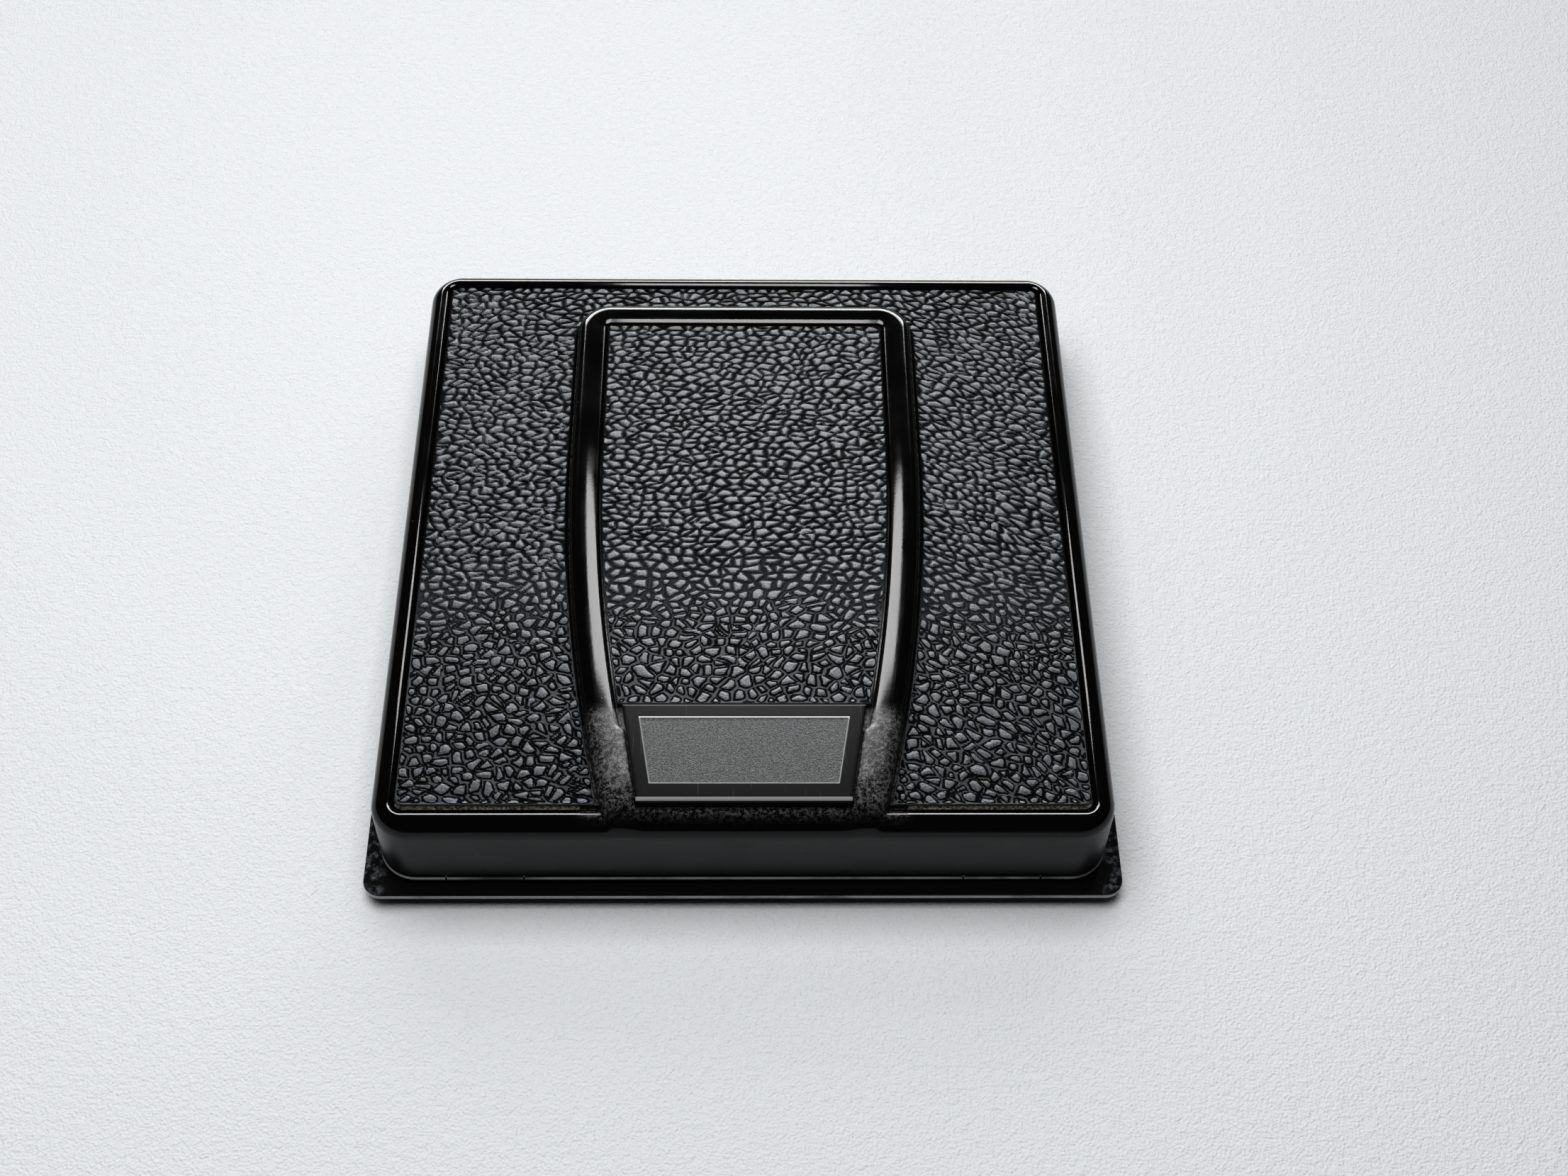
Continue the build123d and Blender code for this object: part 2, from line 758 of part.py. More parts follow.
# ---------------------------------------------------------------- liner screwed under the lid's skin
liner_low = lid_ceiling - liner_thickness
liner = rounded_block(
    lid_width - 2 * (lid_wall + liner_gap),
    lid_depth - 2 * (lid_wall + liner_gap),
    liner_corner_r,
    (liner_low, lid_ceiling),
)
liner -= tongue_block(
    tongue_wall,
    cavity_front,
    cavity_rear,
    tongue_corner_r - tongue_wall,
    (liner_low, lid_ceiling),
)
liner_spots = [
    (x * (lid_width / 2 - liner_screw_inset), y * (lid_depth / 2 - liner_screw_inset),
     liner_low - small_screw_size[2])
    for x in (-1, 1)
    for y in (-1, 1)
]
for spot in liner_spots:
    liner -= screw_hole(small_screw_size, spot)
    lid_shell -= screw_hole(small_screw_size, spot)
save("lid_liner", liner)
save("liner_screws", group(screw(small_screw_size, spot) for spot in liner_spots))
save("lid_shell", lid_shell)

# ---------------------------------------------------------------- magnifier arm and lens cell
arm_levels = (arm_low, arm_high)
arm_straight = magnifier_y + 2 * bracket_ear_r
arm = wedge(
    (arm_half_width, arm_straight), (arm_half_width, magnifier_y), arm_levels
)
arm += wedge((ring_outer, lens_y), (arm_half_width, arm_straight), arm_levels)
arm += rod_z(ring_outer, 0, lens_y, (arm_low, arm_low + ring_height))
arm -= block(
    (-arm_notch_half, arm_notch_half), (magnifier_y - 1, magnifier_y + bracket_ear_r), arm_levels
)
for side in (-1, 1):
    knuckle = (side * arm_half_width, side * arm_notch_half)
    arm += rod_x(magnifier_knuckle_r, knuckle, magnifier_y, magnifier_z)
    arm += block(knuckle, (magnifier_y, magnifier_y + magnifier_knuckle_r), (arm_low, magnifier_z))
    arm -= rod_x(magnifier_pin_r + pin_running, knuckle, magnifier_y, magnifier_z)
lens_seat = arm_low + lens_seat_height
arm -= rod_z(lens_r - lens_seat_width, 0, lens_y, (arm_low, arm_low + ring_height))
arm -= rod_z(lens_r, 0, lens_y, (lens_seat, arm_low + ring_height))
save("magnifier_frame", arm)

# ---------------------------------------------------------------- lens
# Biconvex: a thin edge with a spherical cap on each side.
cap_r = (lens_r**2 + lens_sag**2) / (2 * lens_sag)


def cap_rise(radius):
    """How far a cap stands off the plane of its edge, at a radius from the lens axis."""
    return sqrt(cap_r**2 - radius**2) - (cap_r - lens_sag)


rim_r = lens_r - pin_press
lens_low = lens_seat + cap_rise(lens_r - lens_seat_width) + pin_running
lens_high = lens_low + lens_edge
lens = rod_z(rim_r, 0, lens_y, (lens_low - lens_sag, lens_high + lens_sag))
lens &= Pos(0, lens_y, lens_high + lens_sag - cap_r) * Sphere(cap_r)
lens &= Pos(0, lens_y, lens_low - lens_sag + cap_r) * Sphere(cap_r)
save("magnifier_lens", lens)

# ---------------------------------------------------------------- threaded ring over the lens
ring_inner = lens_r - lens_ring_width
ring_low = lens_high + cap_rise(ring_inner) + pin_running
ring_high = arm_low + ring_height
lens_ring = rod_z(rim_r, 0, lens_y, (ring_low, ring_high))
lens_ring -= rod_z(ring_inner, 0, lens_y, (ring_low, ring_high))
spanner_slot = block((-rim_r, rim_r), (-screw_slot_width, screw_slot_width), (0, 1))
lens_ring -= Pos(0, lens_y, (ring_low + ring_high) / 2) * spanner_slot
save("lens_ring", lens_ring)
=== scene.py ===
import math

import bpy
import numpy as np
from mathutils import Matrix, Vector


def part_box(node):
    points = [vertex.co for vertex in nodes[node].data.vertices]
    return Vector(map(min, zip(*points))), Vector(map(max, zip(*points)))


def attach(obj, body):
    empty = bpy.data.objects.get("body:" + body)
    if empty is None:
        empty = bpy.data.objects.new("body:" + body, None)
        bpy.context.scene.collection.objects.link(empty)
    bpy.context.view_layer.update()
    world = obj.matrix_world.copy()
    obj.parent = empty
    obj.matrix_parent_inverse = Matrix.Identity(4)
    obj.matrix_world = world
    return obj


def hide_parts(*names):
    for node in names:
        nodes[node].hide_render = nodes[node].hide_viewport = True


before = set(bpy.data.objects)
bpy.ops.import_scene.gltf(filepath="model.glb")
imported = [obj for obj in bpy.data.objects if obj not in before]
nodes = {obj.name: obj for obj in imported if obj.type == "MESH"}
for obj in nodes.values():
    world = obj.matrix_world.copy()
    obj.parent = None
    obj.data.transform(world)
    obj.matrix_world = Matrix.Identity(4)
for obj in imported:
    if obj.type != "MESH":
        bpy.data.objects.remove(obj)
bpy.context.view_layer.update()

# ---- Camera: a normal lens in front of the hood and above it, looking down on the lid.
camera_data = bpy.data.cameras.new("camera")
camera_data.lens = 48.9
camera_data.sensor_width = 36.0
camera_data.clip_start = 0.01
camera_data.clip_end = 20.0
camera = bpy.data.objects.new("camera", camera_data)
bpy.context.scene.collection.objects.link(camera)
camera_right = np.array([0.99982, -0.01030, 0.01616])
camera_ahead = np.array([0.01911, 0.59760, -0.80156])
camera_right /= np.linalg.norm(camera_right)
camera_up = np.cross(camera_right, camera_ahead)
camera_up /= np.linalg.norm(camera_up)
camera_ahead = np.cross(camera_up, camera_right)
camera_place = np.eye(4)
camera_place[:3, 0], camera_place[:3, 1] = camera_right, camera_up
camera_place[:3, 2], camera_place[:3, 3] = -camera_ahead, (-0.00016, -0.18645, 0.25170)
camera.matrix_world = Matrix(camera_place.tolist())
bpy.context.scene.camera = camera

# ---- Floor: a sheet of pale textured card that runs far past the view.
floor_mesh = bpy.data.meshes.new("floor")
floor_corner = 1.6
floor_mesh.from_pydata(
    [(-floor_corner, -floor_corner, 0), (floor_corner, -floor_corner, 0),
     (floor_corner, floor_corner, 0), (-floor_corner, floor_corner, 0)],
    [], [(0, 1, 2, 3)])
floor = bpy.data.objects.new("floor", floor_mesh)
bpy.context.scene.collection.objects.link(floor)


class Finish:
    """A material under construction: its node tree, and one call for each kind of node."""

    def __init__(self, name):
        self.material = bpy.data.materials.new(name)
        self.material.use_nodes = True
        self.tree = self.material.node_tree
        self.shader = self.tree.nodes["Principled BSDF"]
        self.place = self.tree.nodes.new("ShaderNodeTexCoord").outputs["Object"]

    def node(self, kind, inputs=None, **settings):
        """One node of that kind, with its settings, its input numbers and its links."""
        made = self.tree.nodes.new(kind)
        for key, value in settings.items():
            setattr(made, key, value)
        for key, value in (inputs or {}).items():
            self.feed(made.inputs[key], value)
        return made

    def feed(self, socket, value):
        """Links an output to the socket, or sets the socket to a number or a colour."""
        if isinstance(value, bpy.types.NodeSocket):
            self.tree.links.new(value, socket)
        else:
            socket.default_value = value

    def stretched(self, factors, turn=0.0):
        """Object place scaled by a factor on each axis, and turned about the upright axis."""
        return self.node("ShaderNodeMapping", {"Vector": self.place, "Scale": factors,
                                               "Rotation": (0, 0, turn)}).outputs[0]

    def noise(self, scale, detail=2.0, place=None, rough=0.5):
        """Cloudy noise from 0 to 1, scale being its waves for each metre."""
        return self.node("ShaderNodeTexNoise", {
            "Vector": place or self.place, "Scale": scale, "Detail": detail,
            "Roughness": rough}).outputs["Fac"]

    def seeds(self, scale):
        """Distance to the nearest of scattered seeds, scale being seeds for each metre."""
        return self.node("ShaderNodeTexVoronoi", {
            "Vector": self.place, "Scale": scale}).outputs["Distance"]

    def ramp(self, value, low, high, start=0.0, end=1.0):
        """value carried smoothly from low..high to start..end, held outside that span."""
        return self.node("ShaderNodeMapRange", {
            "Value": value, "From Min": low, "From Max": high, "To Min": start,
            "To Max": end},
            interpolation_type="SMOOTHSTEP").outputs["Result"]

    def sum(self, a, b, how="ADD"):
        """Two numbers put together by one arithmetic step."""
        return self.node("ShaderNodeMath", {0: a, 1: b}, operation=how).outputs[0]

    def mix(self, share, a, b):
        """Colour a where share is 0 and colour b where it is 1."""
        mixed = self.node("ShaderNodeMix", data_type="RGBA")
        self.feed(mixed.inputs["Factor"], share)
        self.feed(mixed.inputs[6], a)
        self.feed(mixed.inputs[7], b)
        return mixed.outputs[2]

    def relief(self, height, depth, under=None):
        """A bump whose full height is depth metres."""
        made = self.node("ShaderNodeBump", {"Height": height, "Distance": depth,
                                            "Strength": 1.0})
        if under is not None:
            self.feed(made.inputs["Normal"], under)
        return made.outputs["Normal"]

    def set(self, **values):
        """Feeds the shader's own sockets, named with _ for a space."""
        for key, value in values.items():
            self.feed(self.shader.inputs[key.replace("_", " ")], value)
        return self.material


def grey(level, tint=0.0):
    """A near-neutral colour of that level, slightly blue when tint is above 0."""
    return (level * (1 - tint), level, level * (1 + tint), 1.0)


card = Finish("pale_card")
card_grain = card.sum(card.noise(900, 3), card.noise(2600, 2), "ADD")
floor_mesh.materials.append(card.set(
    Base_Color=grey(0.565, 0.018), Roughness=0.75,
    Normal=card.relief(card_grain, 0.00022)))

# ---- Light: two wide soft sources, overhead and far behind, that light the card, and two
# panels seen only in reflections, a long one far behind and a small one close above the
# lid, which give the leather its sheen and draw the bright lines along the lid's edges.


def panel(name, place, aim, size, power, glossy=True, diffuse=True):
    """A rectangular soft light at place that faces aim, in metres and watts."""
    data = bpy.data.lights.new(name, "AREA")
    data.shape = "RECTANGLE"
    data.size, data.size_y = size
    data.energy = power
    light = bpy.data.objects.new(name, data)
    bpy.context.scene.collection.objects.link(light)
    ahead = np.array(aim, float) - np.array(place, float)
    ahead /= np.linalg.norm(ahead)
    side = np.cross(ahead, (0, 0, 1) if abs(ahead[2]) < 0.99 else (0, 1, 0))
    side /= np.linalg.norm(side)
    turned = np.eye(4)
    turned[:3, 0], turned[:3, 1] = side, np.cross(side, ahead)
    turned[:3, 2], turned[:3, 3] = -ahead, place
    light.matrix_world = Matrix(turned.tolist())
    light.visible_glossy = glossy
    light.visible_diffuse = diffuse
    light.visible_camera = False
    return light


panel("wide_overhead", (-0.06, 0.01, 0.52), (-0.03, -0.02, 0), (0.42, 0.42), 3.05,
      glossy=False)
panel("fill_rear", (0.0, 0.60, 0.40), (0, 0, 0), (0.9, 0.4), 1.0, glossy=False)
panel("soft_rear", (0.0, 0.72, 0.36), (0, 0, 0), (1.0, 0.32), 9.4, diffuse=False)
panel("near_panel", (0.0, 0.036, 0.080), (0, 0.036, 0.0), (0.046, 0.044), 0.050,
      diffuse=False)
world = bpy.data.worlds.new("dim_room")
world.use_nodes = True
world.node_tree.nodes["Background"].inputs[0].default_value = (0.9, 0.95, 1.0, 1)
world.node_tree.nodes["Background"].inputs[1].default_value = 0.05
bpy.context.scene.world = world
bpy.context.scene.view_settings.view_transform = "Standard"
bpy.context.scene.view_settings.look = "High Contrast"

# ---- Lid shell: one pressing in gloss black enamel, with a rounded rim, a shallow recess
# for the leather and a raised tongue over the folded magnifier. Its skin is one grid: a
# section carried round the lid, and a second grid that fills the front of the tongue.
MM = 0.001
shell_low, shell_high = (np.array(c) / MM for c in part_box("lid_shell"))
surround_low, surround_high = (np.array(c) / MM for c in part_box("lid_leather_surround"))
inlay_low, inlay_high = (np.array(c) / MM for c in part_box("tongue_leather"))
plate_low, plate_high = (np.array(c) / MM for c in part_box("name_plate"))
half_x, half_y = shell_high[0], shell_high[1]
corner_round, edge_round = 5.0, 2.6
rim = half_x - surround_high[0] - 0.3
rim_z = surround_low[2] + 0.9
floor_z, inlay_z, ridge_z = surround_low[2], inlay_low[2], shell_high[2]
wall, ceiling_z, tongue_ceiling_z = 1.5, rim_z - 2.2, inlay_z - 1.3
lip, lip_reach = 0.80, 1.35
ridge_flat = 2.3
straight_half, sweep_y, sweep_r = 25.0, 12.0, 260.0
tongue_back, tongue_corner, flank_round = inlay_high[1] + 4.6, 5.0, 1.8
join_y = -half_y + rim + 0.5
join_x = 21.0


def tongue_side(y, inset):
    """Half-width of the tongue at y: straight behind sweep_y, and in front of it the
    circle of radius sweep_r less the inset, about a centre that keeps it tangent."""
    radius = sweep_r - inset
    ahead = np.maximum(sweep_y - y, 0.0)
    return straight_half - sweep_r + np.sqrt(radius**2 - ahead**2)


def run(start, end, count):
    """count points evenly spaced from start, leaving the end to the next run."""
    return start + (end - start) * np.arange(count) / count


SIDE, CORNER, REAR, FRONT = 168, 18, 44, 54


def rim_line(inset):
    """Right half of the lid's outline drawn in by inset: a straight front piece from
    join_x, a quarter circle, the side, a quarter circle, and the rear piece to x = 0."""
    r = max(corner_round - inset * (corner_round - 1.2) / rim, 0.7)
    x, y = half_x - inset, half_y - inset
    turn = run(-np.pi / 2, 0, CORNER)
    back = run(0, np.pi / 2, CORNER)
    xs = [run(join_x, x - r, FRONT), x - r + r * np.cos(turn), np.full(SIDE, x),
          x - r + r * np.cos(back), run(x - r, 0, REAR), [0.0]]
    ys = [np.full(FRONT, -y), -y + r + r * np.sin(turn), run(-y + r, y - r, SIDE),
          y - r + r * np.sin(back), np.full(REAR, y), [y]]
    return np.concatenate(xs), np.concatenate(ys)


def tongue_line(inset):
    """Right half of the tongue's outline drawn in by inset (a number, or one for each
    column of the side), with the same columns as rim_line: the swept side, a quarter
    circle and the rear piece."""
    count = FRONT + CORNER + SIDE
    inset = np.broadcast_to(inset, (count,)) if np.ndim(inset) else np.full(count, inset)
    last = inset[-1]
    r = max(tongue_corner - last, 0.6)
    back = tongue_back - last
    side_y = run(join_y, back - r, count)
    turn = run(0, np.pi / 2, CORNER)
    x_end = straight_half - last
    xs = [tongue_side(side_y, inset), x_end - r + r * np.cos(turn),
          run(x_end - r, 0, REAR), [0.0]]
    ys = [side_y, back - r + r * np.sin(turn), np.full(REAR, back), [back]]
    return np.concatenate(xs), np.concatenate(ys)


def slot_inset(y):
    """How far in the ridge's inner edge lies: level with the leather's slot at the rear,
    and a little further in beside the name plate, with a small step between the two."""
    beside = 4.4 + 0.7 * np.clip((y - join_y) / 14.0, 0, 1)
    step = np.clip((y + 35.9) / 0.7, 0, 1)
    return beside + (4.3 - beside) * step * step * (3 - 2 * step)


def rim_height(d):
    """Height of the rim at inset d: a quarter circle of edge_round, then a quarter of an
    ellipse, lip deep and lip_reach wide, then a steep wall to the recess floor."""
    over = np.clip(edge_round - d, 0, edge_round)
    z = rim_z - edge_round + np.sqrt(edge_round**2 - over**2)
    fall = np.clip((d - rim) / lip_reach + 1, 0, 1)
    z = z - lip * (1 - np.sqrt(1 - fall**2))
    drop = np.clip((d - rim) / 0.1, 0, 1)
    return z + (floor_z - (rim_z - lip)) * drop


def ridge_height(e, y):
    """Height of the tongue at inset e: a steep flank, a quarter circle of flank_round, a
    nearly flat top, then a softer round towards the inlay. The top sinks to the front on
    a long ellipse, so that the ridge runs out into the rim."""
    inner = slot_inset(y)
    d = y + half_y
    reach = 6.5
    share = np.clip(1 - d / reach, 0, 1)
    top = rim_z - edge_round + (ridge_z - rim_z + edge_round) * np.sqrt(1 - share**2)
    over = np.clip(flank_round - e, 0, flank_round)
    z = top - flank_round + np.sqrt(flank_round**2 - over**2)
    fall = np.clip((e - ridge_flat) / (inner - ridge_flat), 0, 1)
    z = z - 0.5 * (1 - np.sqrt(np.clip(1 - fall**2, 0, 1)))
    foot = np.clip(-e / 0.12, 0, 1)
    z = z * (1 - foot) + (floor_z - 2.0) * foot
    sill = np.where(d < rim, rim_z - edge_round + 3.05 * np.sqrt(
        1 - np.clip(1 - d / rim, 0, 1)**2), np.where(y > plate_low[1] + 0.62, inlay_z,
                                                     plate_low[2] - 0.03))
    drop = np.clip((e - inner) / 0.1, 0, 1)
    return z * (1 - drop) + np.minimum(sill, z) * drop


def blended(a, b, reach):
    """The greater of two heights, with a soft fillet of that reach where they cross."""
    h = np.clip(0.5 + 0.5 * (a - b) / reach, 0, 1)
    return b + (a - b) * h + reach * h * (1 - h)


arc = np.linspace(0, np.pi / 2, 10)
rim_insets = np.concatenate([[0.0], edge_round * (1 - np.cos(arc[1:-1])),
                             rim - lip_reach + lip_reach * np.sin(arc),
                             [rim + 0.05, rim + 0.1, rim + 0.5]])
rim_insets = np.unique(np.round(rim_insets, 4))
edge_break = 0.2
wall_rises = (0.06, 0.2, 3.0, 6.0, 8.5)
fillet, side_fillet = 0.5, 0.22
columns = FRONT + 2 * CORNER + SIDE + REAR + 1

rows = []


def level_row(line, z):
    """Adds the row of points of that line at height z."""
    rows.append((*line, np.full(columns, z)))


def under_rim(y):
    """Height of the pressing beside the tongue at y: the rim in front, else the recess."""
    return np.where(y < -40, rim_height(y + half_y), floor_z)


ceiling = tongue_line(3.0)
spine = (np.zeros(columns), np.minimum(ceiling[1], 30.0))
for line, z in ((spine, tongue_ceiling_z), (ceiling, tongue_ceiling_z),
                (tongue_line(1.8), tongue_ceiling_z), (tongue_line(1.8), ceiling_z),
                (rim_line(wall), ceiling_z), (rim_line(wall), shell_low[2] + edge_break),
                (rim_line(wall - edge_break), shell_low[2]),
                (rim_line(edge_break), shell_low[2])):
    level_row(line, z)
for rise in wall_rises:
    level_row(rim_line(edge_break - edge_break * min(1, rise / edge_break)),
              shell_low[2] + rise)
first_top = len(rows)
for d in rim_insets:
    x, y = rim_line(d)
    base = np.full(columns, rim_height(np.array([d]))[0])
    side = tongue_side(y, 0.0) - x
    near = (y < -30) & (y + half_y < 6)
    rows.append((x, y, np.where(near, blended(base, ridge_height(side, y), fillet), base)))
inner = slot_inset(tongue_line(0.0)[1][:FRONT + CORNER + SIDE])
for e in [-0.75, -0.5, -0.3, -0.2, -0.12, -0.06, 0.0,
          *(flank_round * (1 - np.cos(arc[1:]))), 1.95, 2.1, ridge_flat]:
    x, y = tongue_line(e)
    rows.append((x, y, blended(under_rim(y), ridge_height(np.full(columns, e), y),
                               side_fillet)))
shares = np.sin(arc[1:])
for inset, is_slot in ([(ridge_flat + share * (inner - ridge_flat), False) for share in shares]
                       + [(inner + 0.1, True), (inner + 1.0, True)]):
    x, y = tongue_line(inset)
    e = np.concatenate([inset, np.full(columns - len(inset), inset[-1])])
    height = ridge_height(e, np.where(np.arange(columns) < len(inset), y, 0.0))
    rows.append((x, y, height if is_slot else blended(under_rim(y), height, side_fillet)))
level_row(spine, inlay_z)
ring = np.array(rows).transpose(0, 2, 1)
mirrored = ring[:, ::-1][:, 1:] * [-1, 1, 1]
ring = np.concatenate([ring, mirrored], axis=1)


def surface(name, grids, weld=0.0, sharp=40.0):
    """A mesh object from grids of points in millimetres. Each grid is rows by columns,
    and faces join neighbours in both; weld merges points nearer than that."""
    points, faces, start = [], [], 0
    for grid in grids:
        n_rows, n_cols = grid.shape[:2]
        index = start + np.arange(n_rows * n_cols).reshape(n_rows, n_cols)
        points.append(grid.reshape(-1, 3))
        faces.append(np.stack([index[:-1, :-1], index[:-1, 1:], index[1:, 1:],
                               index[1:, :-1]], axis=-1).reshape(-1, 4))
        start += n_rows * n_cols
    points, faces = np.concatenate(points) * MM, np.concatenate(faces)
    if weld:
        key = np.round(points / (weld * MM)).astype(np.int64)
        _, first, back = np.unique(key, axis=0, return_index=True, return_inverse=True)
        points, faces = points[first], back.reshape(-1)[faces]
    doubled = (np.diff(np.sort(faces, axis=1), axis=1) == 0).sum(axis=1)
    whole = faces[doubled == 0]
    folded = faces[doubled == 1]
    keep = folded[folded != np.roll(folded, 1, axis=1)].reshape(-1, 3)
    mesh = bpy.data.meshes.new(name)
    mesh.from_pydata(points.tolist(), [], whole.tolist() + keep.tolist())
    mesh.update()
    mesh.validate()
    mesh.polygons.foreach_set("use_smooth", np.ones(len(mesh.polygons), bool))
    if sharp:
        mesh.set_sharp_from_angle(angle=math.radians(sharp))
    made = bpy.data.objects.new(name, mesh)
    bpy.context.scene.collection.objects.link(made)
    return made


# The front of the tongue: its columns stand at the ridge's own rows, flank to middle.
front_xs = np.unique(np.round(np.concatenate(
    [[join_x], ring[first_top + len(rim_insets):, 0, 0]]), 4))[::-1]
front_xs = front_xs[front_xs <= join_x]
front_xs = np.concatenate([-front_xs[:-1], front_xs[::-1]])
front_rows = []
for y, z in ((join_y, tongue_ceiling_z), (join_y, ceiling_z), (-half_y + wall, ceiling_z),
             (-half_y + wall, shell_low[2] + edge_break),
             (-half_y + wall - edge_break, shell_low[2]),
             (-half_y + edge_break, shell_low[2])):
    front_rows.append((front_xs, np.full(len(front_xs), y), np.full(len(front_xs), z)))
for rise in wall_rises:
    y = -half_y + edge_break - edge_break * min(1, rise / edge_break)
    front_rows.append((front_xs, np.full(len(front_xs), y),
                       np.full(len(front_xs), shell_low[2] + rise)))
for d in rim_insets:
    y = np.full(len(front_xs), d - half_y)
    e = tongue_side(y, 0.0) - np.abs(front_xs)
    front_rows.append((front_xs, y, blended(rim_height(np.full(len(y), d)),
                                            ridge_height(e, y), fillet)))
front = np.array(front_rows).transpose(0, 2, 1)
lid_skin = surface("lid_skin", [ring, front], weld=0.004)
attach(lid_skin, "lid")
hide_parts("lid_shell")

enamel = Finish("gloss_black_enamel")
enamel_dust = enamel.ramp(enamel.seeds(420), 0.05, 0.02)
enamel_spots = enamel.sum(enamel_dust, enamel.ramp(enamel.noise(60, 1), 0.52, 0.68), "MULTIPLY")
enamel_grain = enamel.sum(enamel.noise(5200, 2), enamel.noise(1800, 2), "ADD")
spot_x, spot_y, up = enamel.node("ShaderNodeSeparateXYZ", {0: enamel.place}).outputs
# The walls below the rim are painted a shade lighter and bluer than the top, as a painted
# reflection of the floor. They are also made rougher.
on_wall = enamel.ramp(up, 0.0147, 0.0138)
beside_plate = enamel.sum(
    enamel.ramp(enamel.sum(spot_x, spot_x, "MULTIPLY"), 0.000484, 0.000380),
    enamel.sum(enamel.ramp(spot_y, -0.0315, -0.0345), enamel.ramp(spot_y, -0.0490, -0.0460),
               "MULTIPLY"), "MULTIPLY")
# Beside the name plate the enamel is made rougher, as if rubbed to satin, and its grain is
# painted there in light grey specks: a painted sheen.
painted_sheen_speckle = enamel.sum(beside_plate, enamel.ramp(enamel_grain, 0.85, 1.25), "MULTIPLY")
polish = enamel.ramp(enamel.noise(140, 4), 0.3, 0.7, 0.07, 0.13)
lid_skin.data.materials.append(enamel.set(
    Base_Color=enamel.mix(enamel_spots, enamel.mix(
        painted_sheen_speckle, enamel.mix(on_wall, grey(0.0025), grey(0.012, 0.05)), grey(0.10)),
        grey(0.16)),
    Roughness=enamel.sum(polish, enamel.sum(enamel.sum(on_wall, 0.22, "MULTIPLY"),
                                            enamel.sum(beside_plate, 0.30, "MULTIPLY"))),
    Normal=enamel.relief(enamel_grain, 0.0000035)))

# ---- Leather on the lid: black grained hide, cut to the recess and glued down. Its grain is pressed in as pebbles with creases, and painted shade darkens the creases, drawing dark rings round the pebbles in front, while the pebble tops are painted grey as a painted lit look. Its cut edges show brown fibre backing.


def drift(x, y, size, seed):
    """Smooth noise from -1 to 1: seeded random values on a lattice of that size, blended
    between the four nearest by a smooth step."""
    values = np.random.default_rng(seed).uniform(-1, 1, (256, 256))
    u, v = x / size + 100, y / size + 100
    i, j = np.floor(u).astype(int), np.floor(v).astype(int)
    a, b = u - i, v - j
    a, b = a * a * (3 - 2 * a), b * b * (3 - 2 * b)
    near = values[i % 256, j % 256] * (1 - a) + values[(i + 1) % 256, j % 256] * a
    far = values[i % 256, (j + 1) % 256] * (1 - a) + values[(i + 1) % 256, (j + 1) % 256] * a
    return near * (1 - b) + far * b


def step(value, low, high):
    """Smooth step of value from 0 at low to 1 at high."""
    t = np.clip((value - low) / (high - low), 0, 1)
    return t * t * (3 - 2 * t)


def grain(x, y, seed):
    """Height of the pressed grain, from 0 in a crease to 1 on a pebble, and the distance
    to the crease in pebble widths. Each pebble is the cell of one scattered seed point, and
    its height rises with the distance to the line midway to the next seed. Pebbles are long
    and low at the rear, and rounder in front, where the creases are half as deep."""
    stretch_at = np.linspace(-60, 60, 241)
    pitch = 1.12 + 0.50 * step(-stretch_at, 2, 32)
    mapped = np.concatenate([[0], np.cumsum(0.5 / pitch[1:])])
    tilt = np.where(x > 0, 0.30, 0.12) * np.clip(np.abs(x) - 22, 0, 30)
    u = (x + 0.34 * drift(x, y, 1.7, seed + 1) + 0.7 * drift(x, y, 6, seed + 2)) / 1.85
    v = np.interp(y + tilt, stretch_at, mapped) + 0.24 * drift(x, y, 2.1, seed + 3) \
        + 0.5 * drift(x, y, 7, seed + 4)
    jitter = np.random.default_rng(seed).uniform(0.08, 0.92, (128, 128, 2))
    i, j = np.floor(u).astype(int), np.floor(v).astype(int)
    first = np.full(np.shape(u), 9.0)
    second = np.full(np.shape(u), 9.0)
    near = np.zeros(np.shape(u) + (2,))
    other = np.zeros(np.shape(u) + (2,))
    for di in (-2, -1, 0, 1, 2):
        for dj in (-2, -1, 0, 1, 2):
            ci, cj = i + di, j + dj
            seedling = jitter[ci % 128, cj % 128]
            px = ci + seedling[..., 0] + 0.5 * (cj % 2)
            py = cj + seedling[..., 1]
            d = np.hypot(px - u, py - v)
            spot = np.stack([px, py], axis=-1)
            nearer = d < first
            runner = (d < second) & ~nearer
            second = np.where(nearer, first, np.where(runner, d, second))
            other = np.where(nearer[..., None], near, np.where(runner[..., None], spot, other))
            first = np.where(nearer, d, first)
            near = np.where(nearer[..., None], spot, near)
    apart = np.maximum(np.hypot(*(np.moveaxis(near - other, -1, 0))), 0.2)
    edge = (second**2 - first**2) / (2 * apart)
    edge = edge + 0.05 * drift(x, y, 0.7, seed + 5)
    domes = step(edge, 0.0, 0.33)
    rounder = step(-y + 7 * drift(x, y, 7, seed + 6), 0, 20)
    height = np.maximum(domes, 0.5 * rounder)
    return height * (0.80 + 0.2 * drift(x, y, 2.6, seed + 7)), edge


def drop_at_edge(inset):
    """How far a cut leather's top has fallen at that distance from its edge."""
    return 0.28 * (1 - np.sqrt(np.clip(1 - np.clip(1 - inset / 0.3, 0, 1)**2, 0, 1)))


